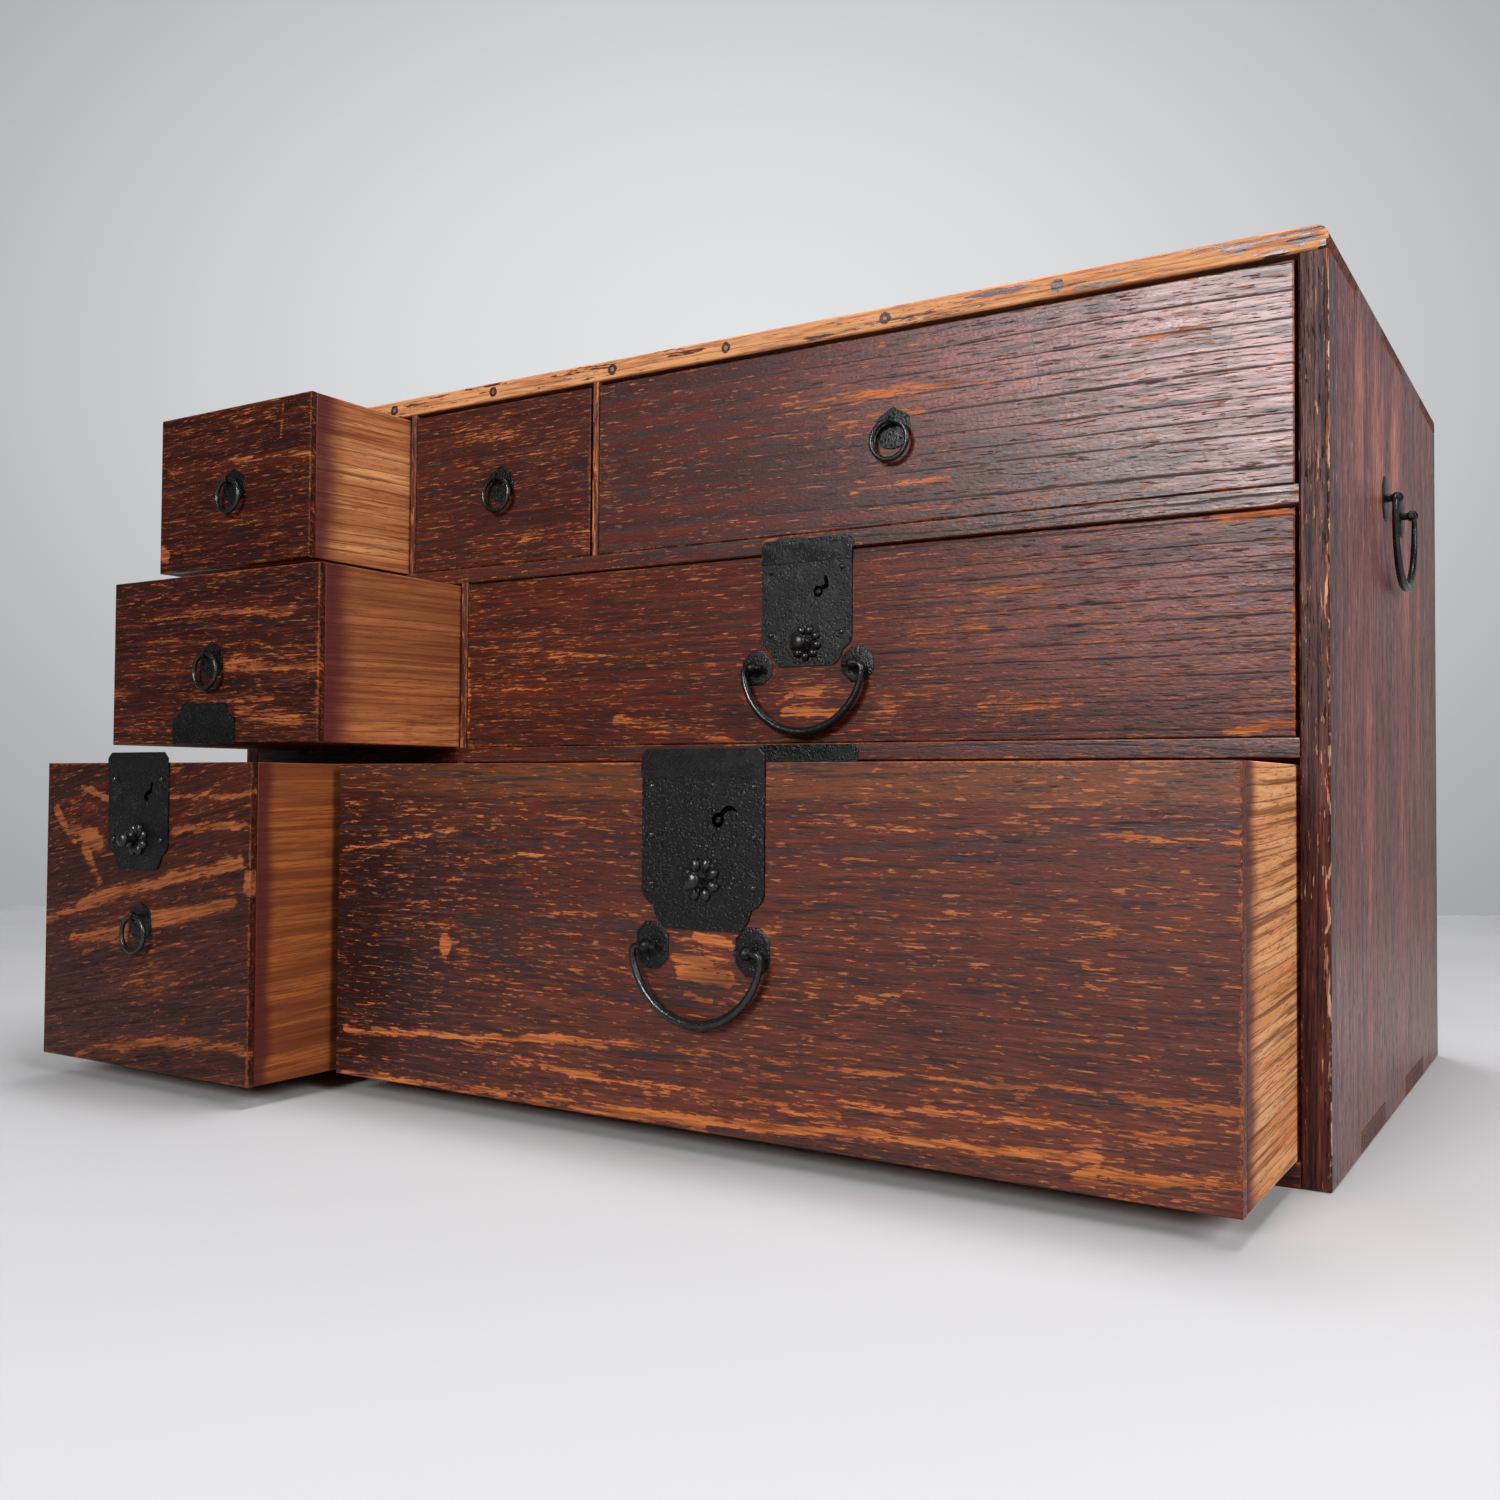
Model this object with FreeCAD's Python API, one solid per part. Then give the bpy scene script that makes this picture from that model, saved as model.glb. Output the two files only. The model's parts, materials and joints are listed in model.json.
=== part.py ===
import FreeCAD, Part
import math
import os

# Clothing chest with seven drawers and iron fittings.
# Millimetres, +Z up, the front looks towards -Y.
# The origin is the centre of the case's footprint, on the floor.

# Case
case_width = 844.0
case_depth = 450.0
case_height = 500.0
side_thickness = 15.0
top_thickness = 13.5
bottom_thickness = 13.0
back_thickness = 7.0
back_board_count = 3
corner_finger_count = 5
corner_radius = 7.0
edge_ease = 1.2

# Rails, shelves and dividers
rail_height = 10.5
rail_depth = 24.0
shelf_thickness = 7.0
housing_depth = 4.0
housing_setback = 6.0
top_row_height = 121.4
middle_row_height = 122.0
small_bay_width = 170.6
middle_left_bay_width = 224.6
bottom_left_bay_width = 221.8
top_divider_thickness = 5.2
middle_divider_thickness = 6.0
bottom_divider_thickness = 5.8

# How far each drawer stands open, as photographed
top_left_opening = 95.0
middle_left_opening = 132.0
bottom_left_opening = 181.8
bottom_wide_opening = 117.5

# Drawers
running_gap = 0.3
left_gap = 0.6
right_gap = 2.1
back_gap = 6.0
top_row_headroom = 3.0
middle_row_headroom = 1.8
bottom_row_headroom = 3.6
thin_front = 14.0
thick_front = 18.0
narrow_lap = 5.5
wide_lap = 9.6
drawer_side_thickness = 9.0
deep_side_thickness = 11.0
drawer_back_thickness = 9.0
drawer_bottom_thickness = 6.0
bottom_seat = 5.0
back_drop = 5.0
drawer_finger_count = 3
front_ease = 0.8

# Pegs in the front edge of the top board
peg_radius = 1.6
peg_length = 20.0
peg_place_shares = (0.198, 0.318, 0.448, 0.559, 0.697, 0.827)

# Ring pulls
ring_radius = 12.2
ring_wire_radius = 1.35
ring_plate_width = 24.0
ring_plate_height = 26.0
ring_plate_thickness = 1.0
ring_plate_drop = 3.5
ring_eye_reach = 5.0
ring_eye_radius = 3.2
ring_eye_width = 2.6
ring_leg_radius = 1.3
top_left_ring_offset = 2.3
top_middle_ring_offset = 2.0
top_wide_ring_offset = -2.8
middle_left_ring_offset = 2.3
bottom_left_ring_offset = -0.4
bottom_left_ring_drop_below_lock = 31.1
top_ring_height_share = 0.53
middle_ring_height_share = 0.52
ring_shoulder_width_share = 0.44
ring_shoulder_height_share = 0.27
ring_waist_height_share = -0.10

# Bail handles
drawer_bail_width = 90.0
drawer_bail_drop = 41.5
middle_bail_spread = 72.5
bottom_bail_spread = 67.0
carrying_bail_width = 92.0
carrying_bail_drop = 52.0
carrying_bail_spread = 70.0
bail_end_radius = 1.7
bail_middle_radius = 2.7
bail_bend = 3.0
bail_flank_share = 0.70
bail_span_count = 12
bail_plate_width = 22.0
bail_plate_height = 27.0
bail_plate_thickness = 1.2
bail_plate_corner = 6.5
bail_eye_radius = 4.0
bail_eye_reach = 6.0
bail_eye_rim = 0.5
bail_neck_radius = 2.4
bail_tail = 3.2
carrying_handle_drop = 111.0
middle_bail_drop_below_lock = 0.3
bottom_bail_drop_below_lock = 10.2

# Clinched legs of the split pins
clinch_length = 16.0
clinch_width = 3.0
clinch_thickness = 1.0

# Lock plates
lock_plate_thickness = 1.2
lock_strip_thickness = 1.0
lock_strip_overhang = 0.6
lock_strip_corner = 4.0
middle_lock_width = 65.0
middle_lock_height = 77.5
middle_lock_rise = 6.0
middle_lock_strip = 11.8
middle_lock_knob_drop = 63.0
middle_rosette_radius = 11.4
wide_lock_width = 82.0
wide_lock_height = 101.0
wide_lock_rise = 7.6
wide_lock_strip = 16.2
wide_lock_knob_drop = 72.8
wide_rosette_radius = 12.8
left_lock_width = 64.5
left_lock_height = 78.7
left_lock_rise = 7.0
left_lock_strip = 13.3
left_lock_knob_drop = 58.4
left_rosette_radius = 11.4
middle_lock_offset = -2.2
wide_lock_offset = 0.4
left_lock_offset = -4.0
corner_rise_share = 0.26
corner_cusp_shares = (0.10, 0.15)
corner_inner_share = 0.20
corner_bulge_share = 0.014
keyhole_side_share = 0.145
keyhole_drop_share = 0.40
keyhole_radius = 3.2
keyhole_post_radius = 1.3
keyhole_slot = 2.0
keyhole_depth = 9.0
keyhole_post_seat = 3.0
keyhole_tail_share = 0.14

# Rosettes, knobs and bolts
rosette_thickness = 0.8
rosette_hole_radius = 4.6
petal_rise = 1.3
petal_root_half = 1.2
petal_tip_half = 2.6
petal_outline_shares = ((-0.1, 1.0), (1.0, 0.45))
petal_crown_share = 0.55
bead_root_share = 0.4
knob_radius = 5.0
knob_shape_shares = ((0.0, 0.64), (0.28, 0.93), (0.52, 1.0), (0.8, 0.78), (0.94, 0.46), (1.0, 0.16))
knob_length = 5.4
stem_radius = 2.5
stroke_share = 0.28
long_stroke_share = 0.36
pocket_wall_share = 0.30
ramp_setback = 1.4
bolt_width = 12.0
bolt_thickness = 4.0
bolt_shoulder = 3.0
bolt_recess = 0.5
bolt_engagement = 6.0
long_bolt_engagement = 5.0
pocket_margin = 10.0
pocket_headroom = 1.5
cover_margin = 5.0
cover_thickness = 1.0

# Strike plates
rail_strike_thickness = 0.8
middle_strike_width = 67.0
middle_strike_height = 7.4
wide_strike_width = 72.0
wide_strike_height = 9.8
strike_corner = 3.0
drawer_strike_width = 66.6
drawer_strike_height = 28.5
drawer_strike_thickness = 1.2
strike_notch_width_share = 0.135
strike_notch_height_share = 0.36

# Nails in the iron plates
nail_head_radius = 1.4
nail_head_height = 0.7
nail_shank_radius = 0.6
nail_length = 7.0
nail_inset = 6.5

# Flats of the small forged, turned and whittled pieces
peg_flats = 6
rod_flats = 8
wire_flats = 8
shank_flats = 4
nail_flats = 6
turned_flats = 10
ball_flats = 8
ball_bands = 4
ring_steps = 16
ring_plate_flats = 8

# Clearances, the overrun of every cut, and how flat a flat face's corners lie
wire_gap = 0.3
fixed_gap = 0.05
stem_gap = 0.2
bolt_gap = 0.4
ramp_gap = 0.1
cut_over = 2.0
flatness = 0.0001

half_width = case_width / 2
half_depth = case_depth / 2
front_plane = -half_depth
inner_left = -half_width + side_thickness
inner_right = half_width - side_thickness
back_inside = half_depth - back_thickness
top_underside = case_height - top_thickness
upper_rail_top = top_underside - top_row_height
upper_rail_bottom = upper_rail_top - rail_height
lower_rail_top = upper_rail_bottom - middle_row_height
lower_rail_bottom = lower_rail_top - rail_height
carrying_handle_height = case_height - carrying_handle_drop
drawer_length = back_inside - back_gap - front_plane


def block(x0, x1, y0, y1, z0, z1):
    return Part.makeBox(x1 - x0, y1 - y0, z1 - z0, FreeCAD.Vector(x0, y0, z0))


def rod_x(radius, y, z, x0, x1):
    return Part.makeCylinder(radius, x1 - x0, FreeCAD.Vector(x0, y, z), FreeCAD.Vector(1, 0, 0))


def polygon(radius, flats):
    """A regular polygon's corners about the origin, with flats that face the axes."""
    flats = round(flats)
    turns = [math.pi * (2 * i + 1) / flats for i in range(flats)]
    return [(radius * math.cos(turn), radius * math.sin(turn)) for turn in turns]


def closed(points):
    return Part.makePolygon(points + points[:1])


def flat_rod_y(radius, x, z, y0, y1, flats=rod_flats):
    """A small rod along Y with flats."""
    corners = [FreeCAD.Vector(x + a, y0, z + b) for a, b in polygon(radius, flats)]
    return Part.Face(closed(corners)).extrude(FreeCAD.Vector(0, y1 - y0, 0))


def flat_faces(a, b, c, d):
    """One flat face with these corners, or two where they don't lie in a plane."""
    normal = (b - a).cross(c - a)
    if abs(normal.dot(d - a)) < flatness * normal.Length:
        return [Part.Face(closed([a, b, c, d]))]
    return [Part.Face(closed([a, b, c])), Part.Face(closed([a, c, d]))]


def skin(sections, round_trip=False):
    """A solid with flat faces through sections that have the same number of corners."""
    pairs = list(zip(sections, sections[1:]))
    if round_trip:
        pairs.append((sections[-1], sections[0]))
        faces = []
    else:
        faces = [Part.Face(closed(section)) for section in (sections[0], sections[-1])]
    for near, far in pairs:
        for i in range(len(near)):
            faces += flat_faces(near[i - 1], near[i], far[i], far[i - 1])
    shell = Part.makeShell(faces)
    shell.sewShape()
    solid = Part.makeSolid(shell)
    if solid.Volume < 0:
        solid.reverse()
    return solid


def turned_y(stations, flats):
    """A solid along Y with flats, through a list of (y, radius)."""
    sections = [[FreeCAD.Vector(a, y, b) for a, b in polygon(radius, flats)] for y, radius in stations]
    return skin(sections)


def turned_x(stations, y, flats):
    """A solid along X with flats, about an axis at y, through a list of (x, radius)."""
    sections = [[FreeCAD.Vector(x, y + a, b) for a, b in polygon(radius, flats)] for x, radius in stations]
    return skin(sections)


def plate_from(edges, y0, y1):
    """A plate in the XZ plane, from its outline's edges at y = 0."""
    face = Part.Face(Part.Wire(edges))
    solid = face.extrude(FreeCAD.Vector(0, y1 - y0, 0))
    solid.translate(FreeCAD.Vector(0, y0, 0))
    return solid


def flat_point(x, z):
    return FreeCAD.Vector(x, 0, z)


def line(a, b):
    return Part.LineSegment(a, b).toShape()


def arc(a, b, c):
    return Part.Arc(a, b, c).toShape()


def loop_of(points):
    """Straight edges through the points and back to the first."""
    return [line(a, b) for a, b in zip(points, points[1:] + points[:1])]


def prism_x(profile, x0, x1):
    """A bar along X whose section is a list of (y, z) points."""
    points = [FreeCAD.Vector(x0, y, z) for y, z in profile]
    face = Part.Face(Part.Wire(loop_of(points)))
    return face.extrude(FreeCAD.Vector(x1 - x0, 0, 0))


def moved(shape, x, y, z, turn=0):
    """A copy turned about Z and carried to its place."""
    result = shape.copy()
    result.rotate(FreeCAD.Vector(0, 0, 0), FreeCAD.Vector(0, 0, 1), turn)
    result.translate(FreeCAD.Vector(x, y, z))
    return result


def cut_all(shape, tools):
    return shape.cut(Part.makeCompound(tools)) if tools else shape


def eased_front(shape, y, radius):
    """Takes the outer arrises off a board's front face at y."""
    box = shape.BoundBox
    reach = radius / 10
    edges = []
    for edge in shape.Edges:
        ends = edge.BoundBox
        on_face = abs(ends.YMin - y) < reach and abs(ends.YMax - y) < reach
        at_side = abs(ends.XMin - box.XMin) < reach and abs(ends.XMax - box.XMin) < reach
        at_side = at_side or abs(ends.XMin - box.XMax) < reach and abs(ends.XMax - box.XMax) < reach
        at_end = abs(ends.ZMin - box.ZMin) < reach and abs(ends.ZMax - box.ZMin) < reach
        at_end = at_end or abs(ends.ZMin - box.ZMax) < reach and abs(ends.ZMax - box.ZMax) < reach
        if on_face and (at_side or at_end):
            edges.append(edge)
    return shape.makeChamfer(radius, edges)


def finger_blocks(x0, x1, z0, z1, wanted):
    """Every second length of a corner along the case's depth."""
    step = case_depth / corner_finger_count
    picks = range(wanted, corner_finger_count, 2)
    return [block(x0, x1, front_plane + i * step, front_plane + (i + 1) * step, z0, z1) for i in picks]


def corner_blocks(z0, z1, wanted):
    left = finger_blocks(-half_width - cut_over, inner_left, z0, z1, wanted)
    right = finger_blocks(inner_right, half_width + cut_over, z0, z1, wanted)
    return left + right


def case_envelope():
    """The outside of the case, with its long upper arrises rounded."""
    low = -cut_over
    bend = corner_radius * (1 - math.sqrt(0.5))
    left = -half_width
    right = half_width
    top = case_height
    edges = [
        line(flat_point(left, low), flat_point(right, low)),
        line(flat_point(right, low), flat_point(right, top - corner_radius)),
        arc(flat_point(right, top - corner_radius), flat_point(right - bend, top - bend),
            flat_point(right - corner_radius, top)),
        line(flat_point(right - corner_radius, top), flat_point(left + corner_radius, top)),
        arc(flat_point(left + corner_radius, top), flat_point(left + bend, top - bend),
            flat_point(left, top - corner_radius)),
        line(flat_point(left, top - corner_radius), flat_point(left, low)),
    ]
    return plate_from(edges, front_plane - cut_over, half_depth + cut_over)


def shelf_with_rail(top, mortises):
    """A front rail with stub tenons, and the dust board behind it."""
    bottom = top - rail_height
    rail_back = front_plane + rail_depth
    rail = block(inner_left, inner_right, front_plane, rail_back, bottom, top)
    tenon_front = front_plane + housing_setback
    rail = rail.fuse(block(inner_left - housing_depth, inner_left, tenon_front, rail_back, bottom, top))
    rail = rail.fuse(block(inner_right, inner_right + housing_depth, tenon_front, rail_back, bottom, top))
    rail = cut_all(rail.removeSplitter(), mortises)
    board = block(inner_left - housing_depth, inner_right + housing_depth, rail_back, back_inside,
                  top - shelf_thickness, top)
    return [rail, board]


def divider(x, thickness, z0, z1):
    """An upright board between two bays."""
    return block(x, x + thickness, front_plane, back_inside, z0, z1)


def split_pin(reach, neck_radius, head, bore, depth):
    """A pin whose head stands off the surface, its legs clinched inside."""
    pin = flat_rod_y(neck_radius, 0, 0, -reach, depth + clinch_thickness)
    legs = block(-clinch_length / 2, clinch_length / 2, depth, depth + clinch_thickness,
                 -clinch_width / 2, clinch_width / 2)
    return pin.fuse(head).fuse(legs).removeSplitter().cut(bore)


def ring_outline():
    """Pointed at the top, rounded at the bottom, centred on the pin."""
    half = ring_plate_width / 2
    top = ring_plate_height / 2 - ring_plate_drop
    middle = -ring_plate_drop
    shoulder_x = ring_plate_width * ring_shoulder_width_share
    shoulder_z = middle + ring_plate_height * ring_shoulder_height_share
    waist = middle + ring_plate_height * ring_waist_height_share
    bottom = middle - ring_plate_height / 2
    tip = flat_point(0, top)
    right = [flat_point(shoulder_x, shoulder_z), flat_point(half, waist)]
    left = [flat_point(-half, waist), flat_point(-shoulder_x, shoulder_z)]
    turns = [math.pi * (i + 1) / ring_plate_flats for i in range(ring_plate_flats - 1)]
    under = [flat_point(half * math.cos(turn), waist - (waist - bottom) * math.sin(turn)) for turn in turns]
    return loop_of([tip] + right + under + left)


def ring_mount(depth):
    """Backplate and split pin of a ring pull, at the origin, outwards to -Y."""
    reach = ring_plate_thickness + ring_eye_reach
    plate = plate_from(ring_outline(), -ring_plate_thickness, 0)
    plate = plate.cut(flat_rod_y(ring_leg_radius + fixed_gap, 0, 0, -reach, cut_over))
    half = ring_eye_width / 2
    head = turned_x([(-half, ring_eye_radius), (half, ring_eye_radius)], -reach, turned_flats)
    bore = rod_x(ring_wire_radius + wire_gap, -reach, 0, -half - cut_over, half + cut_over)
    return [plate, split_pin(reach, ring_leg_radius, head, bore, depth)]


def ring():
    """A ring of flattened wire hanging in its eye, pivoting at its top."""
    reach = ring_plate_thickness + ring_eye_reach
    sections = []
    for i in range(ring_steps):
        turn = 2 * math.pi * (i + 0.5) / ring_steps
        corners = []
        for out, along in polygon(ring_wire_radius, wire_flats):
            radius = ring_radius + out
            x = radius * math.sin(turn)
            z = radius * math.cos(turn) - ring_radius
            corners.append(FreeCAD.Vector(x, along - reach, z))
        sections.append(corners)
    return skin(sections, True)


def octagon(width, height, corner):
    half = width / 2
    tall = height / 2
    quarter = [(half - corner, tall), (half, tall - corner)]
    right = quarter + [(x, -z) for x, z in reversed(quarter)]
    left = [(-x, z) for x, z in reversed(right)]
    return loop_of([flat_point(x, z) for x, z in right + left])


def bail_mounts(spread, depth):
    """Two octagonal backplates with ball-headed split pins."""
    reach = bail_plate_thickness + bail_eye_reach
    hole = flat_rod_y(bail_neck_radius + fixed_gap, 0, 0, -reach, cut_over)
    outline = octagon(bail_plate_width, bail_plate_height, bail_plate_corner)
    plate = plate_from(outline, -bail_plate_thickness, 0).cut(hole)
    radius = bail_eye_radius
    last = math.acos((bail_end_radius + wire_gap + bail_eye_rim) / radius)
    turns = [last * (2 * i / ball_bands - 1) for i in range(ball_bands + 1)]
    ball = turned_x([(radius * math.sin(turn), radius * math.cos(turn)) for turn in turns], -reach, ball_flats)
    bore = rod_x(bail_end_radius + wire_gap, -reach, 0, -radius - cut_over, radius + cut_over)
    pin = split_pin(reach, bail_neck_radius, ball, bore, depth)
    solids = []
    for side in (-1, 1):
        solids.append(moved(plate, side * spread / 2, 0, 0))
        solids.append(moved(pin, side * spread / 2, 0, 0))
    return solids


def bail_stations(width, drop, spread):
    """Half a bail's centre line: x, z, direction and share of the way to the middle."""
    half = width / 2 - bail_end_radius
    low = drop - bail_bend
    flank = low * bail_flank_share
    foot = ((half - flank) ** 2 + low ** 2 - flank ** 2) / (2 * (low - flank))
    foot_angle = math.atan2(half - flank, foot - low)
    start = spread / 2 - bail_eye_radius - bail_tail
    straight = half - bail_bend - start
    bend_length = bail_bend * math.pi / 2
    flank_length = flank * (math.pi / 2 - foot_angle)
    total = straight + bend_length + flank_length + foot * foot_angle
    bend_steps = bail_span_count // 5
    rest = bail_span_count // 2 - bend_steps
    ways = [0.0, straight]
    ways += [straight + bend_length * (i + 1) / bend_steps for i in range(bend_steps)]
    after = straight + bend_length
    ways += [after + (total - after) * (i + 1) / rest for i in range(rest)]
    stations = []
    for way in ways:
        share = way / total
        if way <= straight:
            stations.append((start + way, 0.0, 1.0, 0.0, share))
        elif way <= after:
            turn = (way - straight) / bail_bend
            x = half - bail_bend + bail_bend * math.sin(turn)
            z = bail_bend * (math.cos(turn) - 1)
            stations.append((x, z, math.cos(turn), -math.sin(turn), share))
        elif way <= after + flank_length:
            turn = (way - after) / flank
            x = half - flank + flank * math.cos(turn)
            z = -bail_bend - flank * math.sin(turn)
            stations.append((x, z, -math.sin(turn), -math.cos(turn), share))
        else:
            turn = (total - way) / foot
            x = foot * math.sin(turn)
            z = foot - drop - foot * math.cos(turn)
            stations.append((x, z, -math.cos(turn), -math.sin(turn), share))
    return stations


def bail(width, drop, spread):
    """A forged bail, thin at its hooked ends and thick at its middle."""
    reach = bail_plate_thickness + bail_eye_reach
    half = bail_stations(width, drop, spread)
    other = [(-x, z, dx, -dz, share) for x, z, dx, dz, share in reversed(half[:-1])]
    sections = []
    for x, z, dx, dz, share in half + other:
        radius = bail_end_radius + (bail_middle_radius - bail_end_radius) * max(0.0, 2 * share - 1)
        corners = []
        for out, along in polygon(radius, wire_flats):
            corners.append(FreeCAD.Vector(x - dz * out, along - reach, z + dx * out))
        sections.append(corners)
    return skin(sections)


def lock_outline(width, low, high):
    """Square above; each lower corner is cut in two curves that meet in a cusp."""
    half = width / 2
    a_x = half
    a_z = low + width * corner_rise_share
    c_x = half - width * corner_cusp_shares[0]
    c_z = low + width * corner_cusp_shares[1]
    e_x = half - width * corner_inner_share
    bulge = width * corner_bulge_share
    m_x = (a_x + c_x) / 2 + bulge
    m_z = (a_z + c_z) / 2 - bulge
    n_x = (c_x + e_x) / 2 + bulge
    n_z = (c_z + low) / 2 - bulge
    right = [flat_point(half, high), flat_point(a_x, a_z), flat_point(m_x, m_z), flat_point(c_x, c_z),
             flat_point(n_x, n_z), flat_point(e_x, low)]
    left = [flat_point(-p.x, p.z) for p in right]
    return [
        line(left[0], right[0]),
        line(right[0], right[1]),
        arc(right[1], right[2], right[3]),
        arc(right[3], right[4], right[5]),
        line(right[5], left[5]),
        arc(left[5], left[4], left[3]),
        arc(left[3], left[2], left[1]),
        line(left[1], left[0]),
    ]


def clipped_outline(width, low, high, corner):
    """A rectangle with both upper corners cut off."""
    half = width / 2
    points = [(-half, low), (half, low), (half, high - corner), (half - corner, high),
              (corner - half, high), (-half, high - corner)]
    return loop_of([flat_point(x, z) for x, z in points])


def petal(root, tip):
    """A petal along +Z whose foot lies in the plane y = 0."""
    half = [(root, petal_root_half)]
    for along, across in petal_outline_shares:
        half.append((tip + along * petal_tip_half, across * petal_tip_half))
    middle = (root + tip + petal_tip_half) / 2
    sections = []
    for y, share in ((0, 1), (-rosette_thickness - petal_rise, petal_crown_share)):
        side = [(middle + (z - middle) * share, x * share) for z, x in half]
        right = [FreeCAD.Vector(x, y, z) for z, x in side]
        left = [FreeCAD.Vector(-x, y, z) for z, x in reversed(side)]
        sections.append(right + left)
    return skin(sections)


def rosette(radius, petals, root_share):
    """A ring of raised petals that lie on the lock plate, round the knob's stem."""
    seat = -lock_plate_thickness
    tip = radius - petal_tip_half
    root = rosette_hole_radius + (tip - rosette_hole_radius) * root_share
    disc = turned_y([(seat - rosette_thickness, tip), (seat, tip)], 2 * petals)
    raised = []
    for i in range(petals):
        leaf = petal(root, tip)
        leaf.rotate(FreeCAD.Vector(0, 0, 0), FreeCAD.Vector(0, 1, 0), 360 * (i + 0.5) / petals)
        raised.append(moved(leaf, 0, seat, 0))
    hole = flat_rod_y(rosette_hole_radius, 0, 0, seat - radius, seat + cut_over, turned_flats)
    return disc.multiFuse(raised).cut(hole).removeSplitter()


def keyhole(width):
    """A round hole with a hooked tail towards the upper right."""
    deep = lock_plate_thickness + cut_over
    tail = width * keyhole_tail_share
    hole = flat_rod_y(keyhole_radius, 0, 0, -deep, cut_over, turned_flats)
    half = keyhole_slot / 2
    neck = block(0, tail, -deep, cut_over, keyhole_radius - keyhole_slot, keyhole_radius)
    hook = block(tail - keyhole_slot, tail, -deep, cut_over, keyhole_radius - keyhole_slot,
                 keyhole_radius + tail / 2)
    tip = flat_rod_y(half, tail - half, keyhole_radius + tail / 2, -deep, cut_over)
    return hole.multiFuse([neck, hook, tip]).removeSplitter()


def knob_solid(back_of_head, ramp_front, ratio):
    """A mushroom knob on a stem that ends in a ramp."""
    stations = [(back_of_head - along * knob_length, out * knob_radius) for along, out in knob_shape_shares]
    head = turned_y(stations, turned_flats)
    end = ramp_front + 2 * stem_radius / ratio
    stem = flat_rod_y(stem_radius, 0, 0, back_of_head - knob_length / 2, end, turned_flats)
    past = cut_over / ratio
    beyond = end + past + cut_over
    above = stem_radius + cut_over
    ramp = prism_x([(ramp_front - past, above), (end + past, -above), (beyond, -above), (beyond, above)],
                   -knob_radius, knob_radius)
    return head.fuse(stem).removeSplitter().cut(ramp)


def nail(x, z, seat):
    """A cut nail with a low forged head, in a plate whose face is at seat."""
    head = turned_y([(seat - nail_head_height, nail_head_radius / 2), (seat, nail_head_radius)], nail_flats)
    shank = flat_rod_y(nail_shank_radius, 0, 0, seat, seat + nail_length, shank_flats)
    return moved(head.fuse(shank), x, 0, z)


def nail_hole(x, z, seat):
    end = seat + nail_length + fixed_gap
    return flat_rod_y(nail_shank_radius + fixed_gap, x, z, seat, end, shank_flats)


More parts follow.
